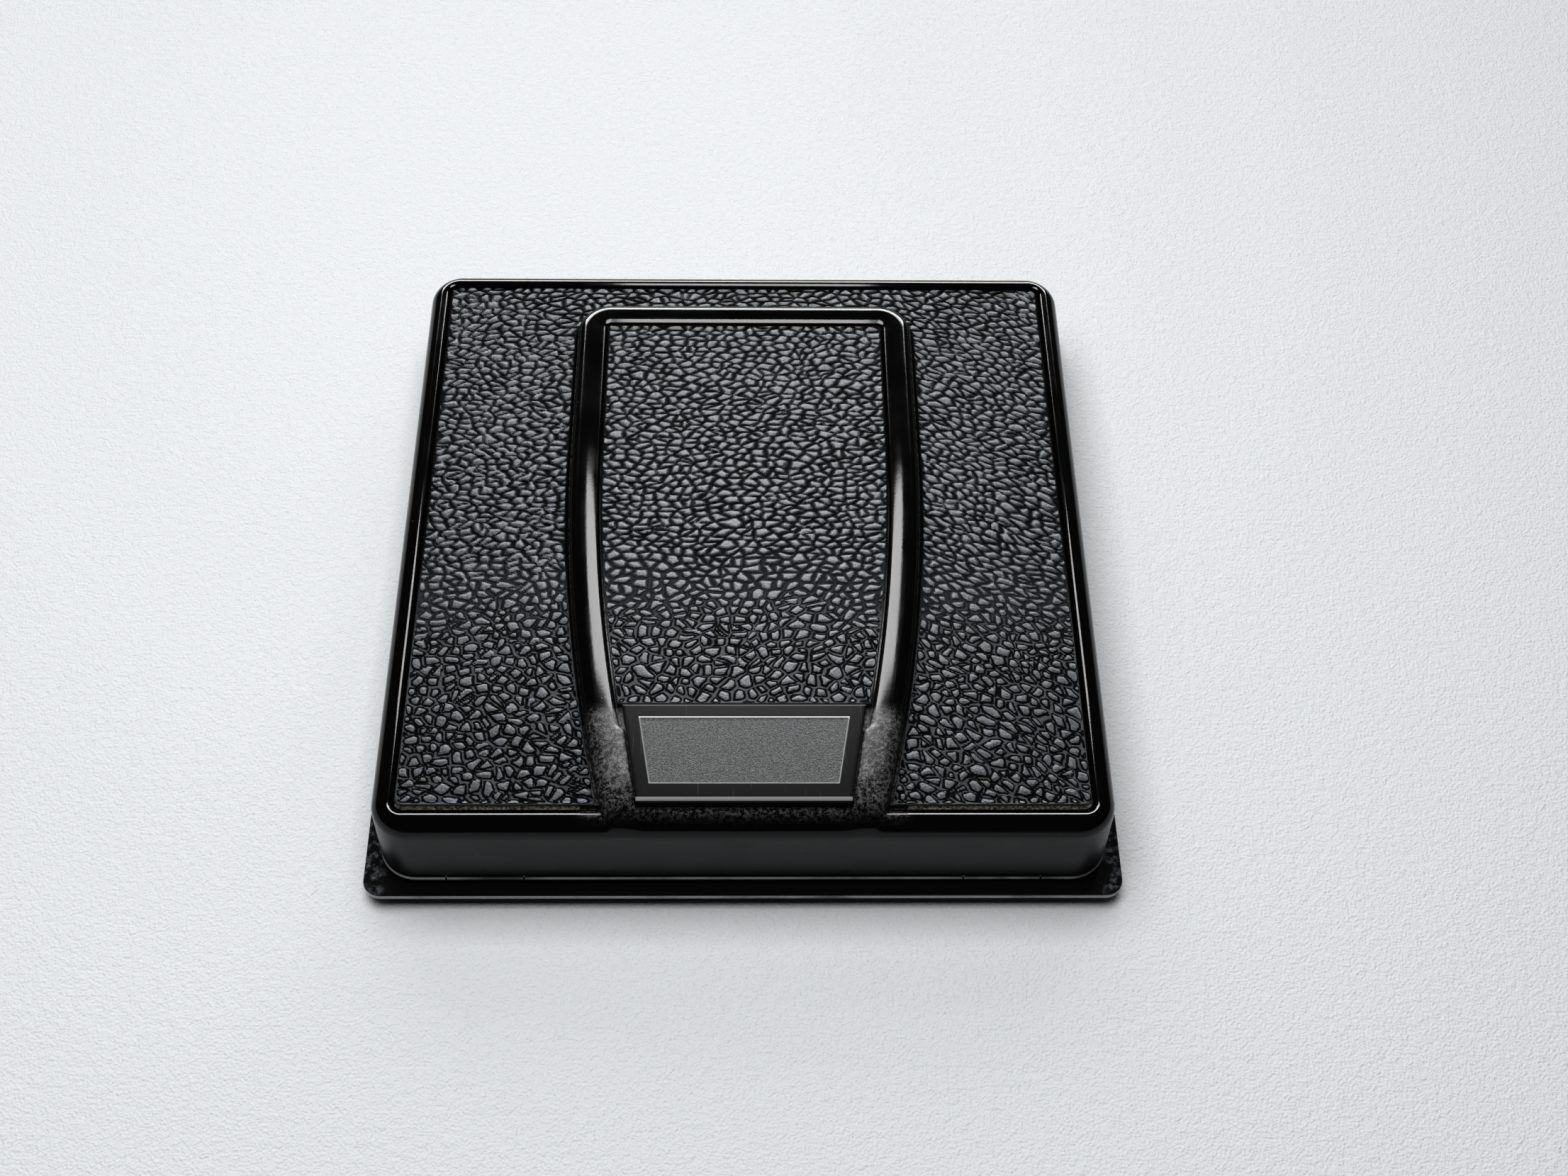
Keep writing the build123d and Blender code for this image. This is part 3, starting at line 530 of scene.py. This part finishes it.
def hide_piece(name, grid_x, grid_y, inset, low_z, top_z, seed, ledge):
    """A leather sheet from a grid of places with each one's distance to the cut edge: its
    grained top, and a skirt all round down to low_z, closed underneath. Within the ledge's
    distance the skin is pared away and the fibre backing stands lower and ragged."""
    relief, from_crease = grain(grid_x, grid_y, seed)
    fade = step(inset - ledge, 0.05, 0.5)
    height = top_z - drop_at_edge(inset - ledge) - 0.30 * (1 - relief) * fade
    pared = step(ledge + 0.05 - inset, 0.0, 0.1) * (ledge > 0)
    ragged = low_z + 0.24 + 0.10 * drift(grid_x, grid_y, 0.3, seed + 8)
    height = height + (ragged - height) * pared
    top = np.stack([grid_x, grid_y, height], axis=-1)
    rows, cols = grid_x.shape
    index = np.arange(rows * cols).reshape(rows, cols)
    faces = np.stack([index[:-1, :-1], index[:-1, 1:], index[1:, 1:], index[1:, :-1]],
                     axis=-1).reshape(-1, 4)
    border = np.concatenate([index[0, :-1], index[:-1, -1], index[-1, :0:-1],
                             index[:0:-1, 0]])
    flat = top.reshape(-1, 3)
    middle, bottom = flat[border].copy(), flat[border].copy()
    middle[:, 2], bottom[:, 2] = low_z + 0.3, low_z
    n, m = rows * cols, len(border)
    turn = np.roll(np.arange(m), -1)
    upper = np.stack([border, n + np.arange(m), n + turn, border[turn]], axis=1)
    lower = np.stack([n + np.arange(m), n + m + np.arange(m), n + m + turn, n + turn], axis=1)
    points = np.concatenate([flat, middle, bottom])
    sheet = bpy.data.meshes.new(name)
    underside = [tuple(n + m + np.arange(m))[::-1]]
    sheet.from_pydata((points * MM).tolist(), [],
                      faces.tolist() + upper.tolist() + lower.tolist() + underside)
    sheet.validate()
    sheet.polygons.foreach_set("use_smooth", np.ones(len(sheet.polygons), bool))
    mark = sheet.attributes.new("from_crease", "FLOAT", "POINT")
    marks = np.concatenate([(from_crease * fade).reshape(-1), np.zeros(2 * m)])
    mark.data.foreach_set("value", marks.astype(np.float32))
    cut = sheet.attributes.new("cut_edge", "FLOAT", "POINT")
    cuts = np.concatenate([pared.reshape(-1), np.ones(2 * m)])
    cut.data.foreach_set("value", cuts.astype(np.float32))
    sheet.set_sharp_from_angle(angle=math.radians(70))
    made = bpy.data.objects.new(name, sheet)
    bpy.context.scene.collection.objects.link(made)
    return made


def edged(length, count):
    """Places from 0 to length, evenly spaced but crowded within 0.36 of each end."""
    crowd = np.array([0.0, 0.03, 0.08, 0.16, 0.26])
    inner = np.linspace(0.36, length - 0.36, count)
    return np.concatenate([crowd, inner, length - crowd[::-1]])


leather_front, leather_side = surround_low[1], surround_high[0]
corner_r = 1.2
side_lengths = leather_front + np.concatenate([
    [0.0, 0.06, 0.2, 0.36, 0.5, 0.56, 0.62, 0.7, 0.8],
    np.linspace(0.95, tongue_back - tongue_corner - leather_front, 292)])
CORNER_STEPS, REAR_STEPS, ACROSS = 104, 76, 76
turn = run(0, np.pi / 2, CORNER_STEPS)[1:]
tongue_r = tongue_corner + 0.3
near_x = np.concatenate([tongue_side(side_lengths, -0.3),
                         straight_half - tongue_corner + tongue_r * np.cos(turn),
                         run(straight_half - tongue_corner, 0, REAR_STEPS), [0.0]])
near_y = np.concatenate([side_lengths, tongue_back - tongue_corner + tongue_r * np.sin(turn),
                         np.full(REAR_STEPS + 1, tongue_back + 0.3)])
round_front = np.clip(corner_r - (side_lengths - leather_front), 0, corner_r)
far_side = leather_side - corner_r + np.sqrt(corner_r**2 - round_front**2)
corner_start = np.array([leather_side, side_lengths[-1]])
corner_run = (surround_high[1] - corner_start[1]) + (leather_side - near_x[-REAR_STEPS - 1])
travel = np.linspace(0, 1, CORNER_STEPS + 1)[1:-1] * corner_run
upward = surround_high[1] - corner_start[1]
far_x = np.where(travel < upward, leather_side, leather_side - (travel - upward))
far_y = np.where(travel < upward, corner_start[1] + travel, surround_high[1])
away = np.clip(corner_r - (leather_side - far_x), 0, corner_r)
near_corner = (far_y >= surround_high[1]) & (far_x > leather_side - corner_r)
far_y = np.where(near_corner, surround_high[1] - corner_r + np.sqrt(
    corner_r**2 - away**2), far_y)
far_x = np.concatenate([far_side, far_x, near_x[-REAR_STEPS - 1:]])
far_y = np.concatenate([side_lengths, far_y, np.full(REAR_STEPS + 1, surround_high[1])])
width = np.hypot(far_x - near_x, far_y - near_y)
base = np.linspace(0, 1, ACROSS)
crowded = np.array([0.03, 0.08, 0.16, 0.26, 0.36])
insets = np.concatenate([np.zeros((len(width), 1)), np.tile(crowded, (len(width), 1)),
                         0.36 + (width[:, None] - 0.72) * base[None, 1:-1],
                         width[:, None] - np.tile(crowded[::-1], (len(width), 1)),
                         width[:, None]], axis=1).T
share = insets / width[None, :]
half_x_grid = near_x[None, :] + (far_x - near_x)[None, :] * share
half_y_grid = near_y[None, :] + (far_y - near_y)[None, :] * share
edge_inset = np.minimum(np.minimum(insets, width[None, :] - insets),
                        half_y_grid - leather_front)
sheet_x = np.concatenate([half_x_grid, -half_x_grid[:, ::-1][:, 1:]], axis=1)
sheet_y = np.concatenate([half_y_grid, half_y_grid[:, ::-1][:, 1:]], axis=1)
sheet_inset = np.concatenate([edge_inset, edge_inset[:, ::-1][:, 1:]], axis=1)
front_ledge = 0.55 * step(-sheet_y, -leather_front - 1.4, -leather_front - 0.9)
lid_leather = hide_piece("lid_leather", sheet_x[::-1], sheet_y[::-1], sheet_inset[::-1],
                         floor_z, surround_high[2], 11, front_ledge[::-1])
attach(lid_leather, "lid")
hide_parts("lid_leather_surround")

inlay_y = inlay_low[1] + edged(inlay_high[1] - inlay_low[1], 300)
inlay_half = tongue_side(inlay_y, 4.6)
round_back = np.clip(0.6 - (inlay_high[1] - inlay_y), 0, 0.6)
inlay_half = inlay_half - 0.6 + np.sqrt(0.36 - round_back**2)
base = np.linspace(-1, 1, 170)
inlay_x = np.concatenate([
    -inlay_half[:, None] + np.array([0, 0.03, 0.08, 0.16, 0.26])[None, :],
    (inlay_half[:, None] - 0.36) * base[None, :],
    inlay_half[:, None] - np.array([0.26, 0.16, 0.08, 0.03, 0])[None, :]], axis=1)
inlay_yy = np.broadcast_to(inlay_y[:, None], inlay_x.shape)
inlay_inset = np.minimum(inlay_half[:, None] - np.abs(inlay_x), np.minimum(
    inlay_yy - inlay_low[1], inlay_high[1] - inlay_yy))
tongue_hide = hide_piece("tongue_hide", inlay_x, inlay_yy, inlay_inset, inlay_low[2],
                         inlay_high[2], 47, 0.0)
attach(tongue_hide, "lid")
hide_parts("tongue_leather")

leather = Finish("black_grained_leather")
from_crease = leather.node("ShaderNodeAttribute",
                           attribute_name="from_crease").outputs["Fac"]
backing = leather.node("ShaderNodeAttribute", attribute_name="cut_edge").outputs["Fac"]
fibres = leather.noise(4200, 4, None, 0.6)
# Painted shade and light: the creases are painted near black and the pebble tops grey, and in
# front the pebble centres are painted lighter still. The same crease mask also sets the bump,
# roughness and specular level.
rear_crease_shade = leather.ramp(from_crease, 0.03, 0.25)
ring = leather.sum(leather.ramp(from_crease, 0.045, 0.10),
                   leather.ramp(from_crease, 0.25, 0.17), "MULTIPLY")
pebble_centre_light = leather.ramp(from_crease, 0.10, 0.25, 0.50, 1.0)
front_crease_shade = leather.sum(leather.ramp(ring, 0.0, 1.0, 1.0, 0.0), pebble_centre_light, "MULTIPLY")
leather_y = leather.node("ShaderNodeSeparateXYZ", {0: leather.place}).outputs[1]
in_front = leather.ramp(leather.sum(leather_y, leather.sum(leather.noise(110, 2), 0.016,
                                                           "MULTIPLY")), 0.006, -0.016)
crease = leather.sum(rear_crease_shade, leather.sum(
    leather.sum(front_crease_shade, rear_crease_shade, "SUBTRACT"), in_front, "MULTIPLY"))
# Fine noise mottles the leather's colour at random, pulling parts of the pebble tops down
# towards the crease colour.
top_mottle = leather.ramp(fibres, 0.30, 0.68, 0.30, 1.0)
hide = leather.mix(leather.sum(crease, top_mottle, "MULTIPLY"), grey(0.0002), grey(0.098, 0.10))
fluff = leather.noise(3500, 4)
backing_colour = leather.mix(leather.ramp(fluff, 0.35, 0.7), (0.010, 0.009, 0.008, 1),
                             (0.105, 0.093, 0.078, 1))
leather.set(Base_Color=leather.mix(backing, hide, backing_colour),
            Roughness=leather.ramp(crease, 0.0, 1.0, 0.80, 0.34),
            Specular_IOR_Level=leather.ramp(crease, 0.0, 0.8, 0.12, 0.50),
            Normal=leather.relief(fibres, 0.00007, leather.relief(crease, 0.00012)))
lid_leather.data.materials.append(leather.material)
tongue_hide.data.materials.append(leather.material)

# ---- Name plate: a thin black plate at the front of the tongue, with a sunk matt panel
# and a front edge bent down over the rim. The panel is left plain.
plate_back_half, plate_front_half = 15.97, 13.8
border, relief = 1.9, 0.2
bend_r = 0.6


def plate_profile():
    """Side view of the plate's upper face as (y, z): flat, a quarter circle, the lip."""
    rear_step = plate_high[1] - border
    front_step = plate_low[1] + bend_r + border
    flat_y = np.concatenate([
        np.linspace(plate_high[1], rear_step + 0.5, 5),
        np.linspace(rear_step + 0.4, rear_step - 0.5, 14),
        np.linspace(rear_step - 0.7, front_step + 0.5, 14),
        np.linspace(front_step + 0.4, front_step - 0.4, 12),
        np.linspace(front_step - 0.6, plate_low[1] + bend_r + 0.1, 4)])
    turn = np.linspace(0, np.pi / 2, 9)
    y = np.concatenate([flat_y, plate_low[1] + bend_r - bend_r * np.sin(turn),
                        [plate_low[1]] * 3])
    z = np.concatenate([np.full(len(flat_y), plate_high[2]),
                        plate_high[2] - bend_r + bend_r * np.cos(turn),
                        np.linspace(plate_high[2] - bend_r - 0.3, plate_low[2], 3)])
    return y, z


def plate_half(y):
    """Half-width of the plate at y, from its rear to its front."""
    share = np.clip((plate_high[1] - y) / (plate_high[1] - plate_low[1] - bend_r), 0, 1)
    return plate_back_half + (plate_front_half - plate_back_half) * share


profile_y, profile_z = plate_profile()
across = np.concatenate([[0, 0.03, 0.1, 0.25], np.linspace(0.6, border - 0.5, 4),
                         np.linspace(border - 0.4, border + 0.4, 12)])
halves = plate_half(profile_y)[:, None]
left = -halves + across[None, :]
middle = left[:, -1:] + (-2 * left[:, -1:]) * np.linspace(0, 1, 10)[None, 1:-1]
plate_x = np.concatenate([left, middle, -left[:, ::-1]], axis=1)
plate_y = np.broadcast_to(profile_y[:, None], plate_x.shape)
edge_in = np.minimum(halves - np.abs(plate_x) - border, np.minimum(
    plate_high[1] - border - plate_y, plate_y - (plate_low[1] + bend_r + border)))
sunk = np.clip((edge_in + 0.05) / 0.3, 0, 1)
side_drop = np.clip(1 - (halves - np.abs(plate_x)) / 0.25, 0, 1)
plate_z = profile_z[:, None] - relief * sunk * sunk * (3 - 2 * sunk) - 0.08 * side_drop**2
plate = surface("name_plate_skin",
                [np.stack([plate_x, plate_y, plate_z], axis=-1)[:, ::-1]], sharp=60)
solid = plate.modifiers.new("thickness", "SOLIDIFY")
solid.thickness, solid.offset = 0.5 * MM, -1.0
panel_mark = plate.data.attributes.new("panel", "FLOAT", "POINT")
panel_mark.data.foreach_set("value", sunk[:, ::-1].reshape(-1).astype(np.float32))
satin = Finish("black_plate")
on_panel = satin.node("ShaderNodeAttribute", attribute_name="panel").outputs["Fac"]
speckle = satin.noise(7000, 2)
scratch = satin.noise(700, 2, satin.stretched((6.0, 0.35, 1.0), 0.5))
border_colour = satin.mix(satin.ramp(scratch, 0.66, 0.74), grey(0.005, 0.05), grey(0.03))
panel_colour = satin.mix(satin.ramp(speckle, 0.35, 0.65), grey(0.018, 0.03), grey(0.085, 0.02))
# Painted highlights: a light line along the edge of the sunk panel, strongest at the rear, and
# a fainter light line along the front bend.
painted_step_highlight = satin.sum(satin.ramp(on_panel, 0.10, 0.30), satin.ramp(on_panel, 0.85, 0.60),
                      "MULTIPLY")
plate_x, plate_y, plate_up = satin.node("ShaderNodeSeparateXYZ", {0: satin.place}).outputs
at_rear = satin.ramp(plate_y, -0.0345, -0.0335)
painted_bend_highlight = satin.sum(satin.ramp(plate_y, -0.04600, -0.04625),
                    satin.ramp(plate_up, 0.01875, 0.01890), "MULTIPLY")
painted_highlight_lines = satin.sum(satin.sum(painted_step_highlight, satin.ramp(at_rear, 0, 1, 0.25, 1.0), "MULTIPLY"),
                        satin.sum(painted_bend_highlight, 0.28, "MULTIPLY"), "MAXIMUM")
plate.data.materials.append(satin.set(
    Base_Color=satin.mix(painted_highlight_lines, satin.mix(on_panel, border_colour, panel_colour),
                         grey(0.90)),
    Roughness=satin.ramp(on_panel, 0, 1, 0.36, 0.50),
    Specular_IOR_Level=satin.ramp(on_panel, 0, 1, 0.22, 0.50),
    Normal=satin.relief(satin.sum(speckle, on_panel, "MULTIPLY"), 0.00010)))
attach(plate, "lid")
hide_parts("name_plate")


def dress(finish, slot_name, *names):
    """Gives CAD nodes their finished material; slot_name is not used."""
    for name in names:
        mesh = nodes[name].data
        mesh.materials.clear()
        mesh.materials.append(finish.material)


# ---- Mounting plate: a flat steel plate in black enamel with a rolled edge, screwed between the base frame and the collar. Its open corners are rubbed and mottled, and a painted highlight runs at the height of its rolled edge.
plate_enamel = Finish("mounting_plate_enamel")
rubbed = plate_enamel.ramp(plate_enamel.noise(900, 5, None, 0.65), 0.46, 0.70)
far_out = plate_enamel.node("ShaderNodeSeparateXYZ", {0: plate_enamel.place}).outputs
out_x = plate_enamel.ramp(plate_enamel.sum(far_out[0], 0.0, "ABSOLUTE"), 0.0470, 0.0488)
out_y = plate_enamel.ramp(plate_enamel.sum(far_out[1], 0.0, "ABSOLUTE"), 0.030, 0.050)
corner_wear = plate_enamel.sum(plate_enamel.sum(out_x, out_y, "MULTIPLY"), rubbed, "MULTIPLY")
# Painted highlight: a light band at the height of the rolled edge, uneven along its length.
painted_rim_highlight = plate_enamel.sum(
    plate_enamel.sum(plate_enamel.ramp(far_out[2], 0.00292, 0.00280),
                     plate_enamel.ramp(far_out[2], 0.00215, 0.00235), "MULTIPLY"),
    plate_enamel.ramp(plate_enamel.noise(120, 4), 0.30, 0.55, 0.35, 1.0), "MULTIPLY")
plate_enamel.set(
    Base_Color=plate_enamel.mix(painted_rim_highlight, plate_enamel.mix(
        corner_wear, grey(0.010), (0.17, 0.185, 0.205, 1)), grey(0.38)),
    Metallic=plate_enamel.ramp(corner_wear, 0, 1, 0.0, 0.5),
    Roughness=plate_enamel.ramp(rubbed, 0, 1, 0.14, 0.30),
    Normal=plate_enamel.relief(plate_enamel.noise(2600, 3), 0.000006))
dress(plate_enamel, "black_enamel", "mounting_plate")

# ---- Base frame, collar and small fittings: castings and stampings in satin black enamel, fine-grained, with brighter scuffs, and a painted highlight band at the height of the frame's front bead.
satin_black = Finish("satin_black_enamel")
scuffs = satin_black.ramp(satin_black.noise(500, 5, None, 0.6), 0.66, 0.82)
frame_z = satin_black.node("ShaderNodeSeparateXYZ", {0: satin_black.place}).outputs[2]
# Painted highlight: a light band at the height of the front bead, just under the lid's wall,
# uneven along its length.
painted_bead_highlight = satin_black.sum(
    satin_black.sum(satin_black.ramp(frame_z, 0.00440, 0.00425),
                    satin_black.ramp(frame_z, 0.00385, 0.00400), "MULTIPLY"),
    satin_black.ramp(satin_black.noise(90, 4), 0.30, 0.55, 0.25, 1.0), "MULTIPLY")
satin_black.set(
    Base_Color=satin_black.mix(painted_bead_highlight, satin_black.mix(scuffs, grey(0.0035),
                                                          grey(0.022, 0.04)), grey(0.30)),
    Roughness=satin_black.ramp(satin_black.noise(300, 3), 0.3, 0.7, 0.13, 0.22),
    Normal=satin_black.relief(satin_black.noise(2500, 2), 0.000003))
dress(satin_black, "satin_black_metal", "base_frame", "locating_collar", "lid_hinge_leaves",
      "magnifier_bracket", "magnifier_frame", "lens_ring")

# ---- Shields: three thin sheet-metal flaps that fold over each other inside, blackened,
# with long faint rub marks where one slides on the next.
shield_finish = Finish("blackened_sheet")
rubs = shield_finish.noise(260, 5, shield_finish.stretched((4.0, 0.35, 1.0), 0.3), 0.6)
shield_finish.set(
    Base_Color=shield_finish.mix(shield_finish.ramp(rubs, 0.56, 0.74), grey(0.006),
                                 grey(0.038)),
    Metallic=0.2,
    Roughness=shield_finish.ramp(rubs, 0.35, 0.7, 0.52, 0.36),
    Normal=shield_finish.relief(shield_finish.noise(5200, 3), 0.00001))
dress(shield_finish, "shield_black", "left_shield", "right_shield", "rear_shield")

# ---- Lid liner: a thin plate screwed under the lid's skin, covered in black flock that
# drinks the light, a little uneven like short nap.
flock = Finish("black_flock")
nap = flock.noise(3000, 5, None, 0.7)
flock.set(Base_Color=flock.mix(nap, grey(0.004), grey(0.016)), Roughness=0.95,
          Sheen_Weight=0.25, Sheen_Roughness=0.5, Normal=flock.relief(nap, 0.00008))
dress(flock, "flock_black", "lid_liner")

# ---- Pins, rivets and screws: turned steel with a fine grain and a few dark tool marks.
pins = Finish("turned_steel")
tooling = pins.noise(2400, 3)
pins.set(Base_Color=pins.mix(pins.ramp(tooling, 0.35, 0.7), grey(0.30, 0.01), grey(0.52, 0.01)),
         Metallic=1.0, Roughness=pins.ramp(tooling, 0.3, 0.7, 0.20, 0.38),
         Normal=pins.relief(pins.noise(9000, 2), 0.000006))
dress(pins, "pin_steel", "lid_hinge_pin", "left_shield_pin", "right_shield_pin",
      "rear_shield_pin", "magnifier_pin", "hinge_rivets", "clip_rivets")
screws = Finish("blued_screw_steel")
bluing = screws.noise(1300, 4)
screws.set(Base_Color=screws.mix(screws.ramp(bluing, 0.35, 0.7), (0.020, 0.022, 0.028, 1),
                                 (0.095, 0.095, 0.100, 1)),
           Metallic=0.9, Roughness=screws.ramp(bluing, 0.3, 0.7, 0.28, 0.42),
           Normal=screws.relief(screws.noise(8000, 2), 0.000006))
dress(screws, "screw_steel", "frame_screws", "liner_screws", "bracket_screws")

# ---- Springs: torsion springs of drawn steel wire on the shield and magnifier pins, each
# a close coil with a straight leg at each end, and flat clip springs that hold the lid.
spring_steel = Finish("drawn_spring_steel")
drawn = spring_steel.noise(4000, 3)
spring_steel.set(
    Base_Color=spring_steel.mix(spring_steel.ramp(drawn, 0.3, 0.7), grey(0.36, 0.01),
                                grey(0.58, 0.01)),
    Metallic=1.0, Roughness=spring_steel.ramp(drawn, 0.3, 0.7, 0.22, 0.36),
    Normal=spring_steel.relief(drawn, 0.000008))
dress(spring_steel, "spring_steel", "lid_clip_springs")


def wire(path, radius, sides=10):
    """A round wire along a path of points: at each point a circle in the plane square to
    the path, turned the least from the one before, closed by a point at each end."""
    ahead = np.gradient(path, axis=0)
    ahead /= np.linalg.norm(ahead, axis=1, keepdims=True)
    start = np.cross(ahead[0], (0.31, 0.52, 0.79))
    across = [start / np.linalg.norm(start)]
    for tangent in ahead[1:]:
        level = across[-1] - tangent * (across[-1] @ tangent)
        across.append(level / np.linalg.norm(level))
    across = np.array(across)
    above = np.cross(ahead, across)
    turn = np.linspace(0, 2 * np.pi, sides + 1)[None, :, None]
    tube = path[:, None] + radius * (np.cos(turn) * across[:, None]
                                     + np.sin(turn) * above[:, None])
    tube[:, -1] = tube[:, 0]
    caps = np.broadcast_to(path[[0, -1], None], (2, sides + 1, 3))
    return np.concatenate([caps[:1], tube, caps[1:]])


def coil_path(centre, axis, out, length, coil_r, turns, legs):
    """Line of a torsion spring's wire: a straight leg that arrives along out, a helix
    about the axis, and a straight leg that leaves against out, both under the coil."""
    axis, out = np.array(axis, float), np.array(out, float)
    down = np.array([0.0, 0.0, -1.0])
    angle = np.linspace(0, 2 * np.pi * turns, int(turns * 28))
    along = np.linspace(-0.5, 0.5, len(angle)) * length
    helix = centre + axis * along[:, None] + coil_r * (
        down * np.cos(angle)[:, None] + out * np.sin(angle)[:, None])
    first = helix[0] - out * legs[0] * np.linspace(1, 0.05, 8)[:, None]
    last = helix[-1] + out * legs[1] * np.linspace(0.05, 1, 8)[:, None]
    return np.concatenate([first, helix, last])


wire_r, coil_r, coil_turns, coil_legs = 0.2, 1.02, 13.0, (2.0, 4.6)
side_play, coil_play = 1.7, 0.1


def torsion_spring(name, body, wires, *replaced):
    """One torsion spring, or a pair, as wire, riding on the body of the node it replaces."""
    made = surface(name, [wire(path, wire_r) for path in wires], weld=0.002, sharp=0)
    made.data.materials.append(spring_steel.material)
    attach(made, body)
    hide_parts(*replaced)


for side, name in ((-1, "left"), (1, "right")):
    low, high = (np.array(c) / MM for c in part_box(name + "_shield_spring"))
    pin_low, pin_high = (np.array(c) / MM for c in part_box(name + "_shield_pin"))
    axle = (pin_low + pin_high) / 2
    axle[1] = (low[1] + high[1]) / 2
    torsion_spring(
        name + "_torsion_spring", "base",
        [coil_path(axle, (0, 1, 0), (-side, 0, 0),
                   high[1] - low[1] - 2 * wire_r - coil_play, coil_r, coil_turns, coil_legs)],
        name + "_shield_spring")
low, high = (np.array(c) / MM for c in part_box("rear_shield_springs"))
pin_low, pin_high = (np.array(c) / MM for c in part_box("rear_shield_pin"))
axle = (pin_low + pin_high) / 2
pair = []
for side in (-1, 1):
    centre = axle + [side * (high[0] + side_play) / 2, 0, 0]
    pair.append(coil_path(centre, (side, 0, 0), (0, -1, 0),
                          high[0] - side_play - 2 * wire_r - coil_play, coil_r, coil_turns,
                          coil_legs))
torsion_spring("rear_torsion_springs", "base", pair, "rear_shield_springs")

# ---- Lens: a clear glass magnifier in its cell, faintly tinted.
glass = Finish("lens_glass_clear")
clean = glass.noise(60, 3)
glass.set(Base_Color=glass.mix(clean, (0.93, 0.96, 0.97, 1), (0.97, 0.99, 0.98, 1)),
          Roughness=glass.ramp(clean, 0.4, 0.8, 0.01, 0.03),
          Transmission_Weight=1.0, IOR=1.52)
dress(glass, "lens_glass", "magnifier_lens")
dress(spring_steel, "spring_steel", "magnifier_spring")
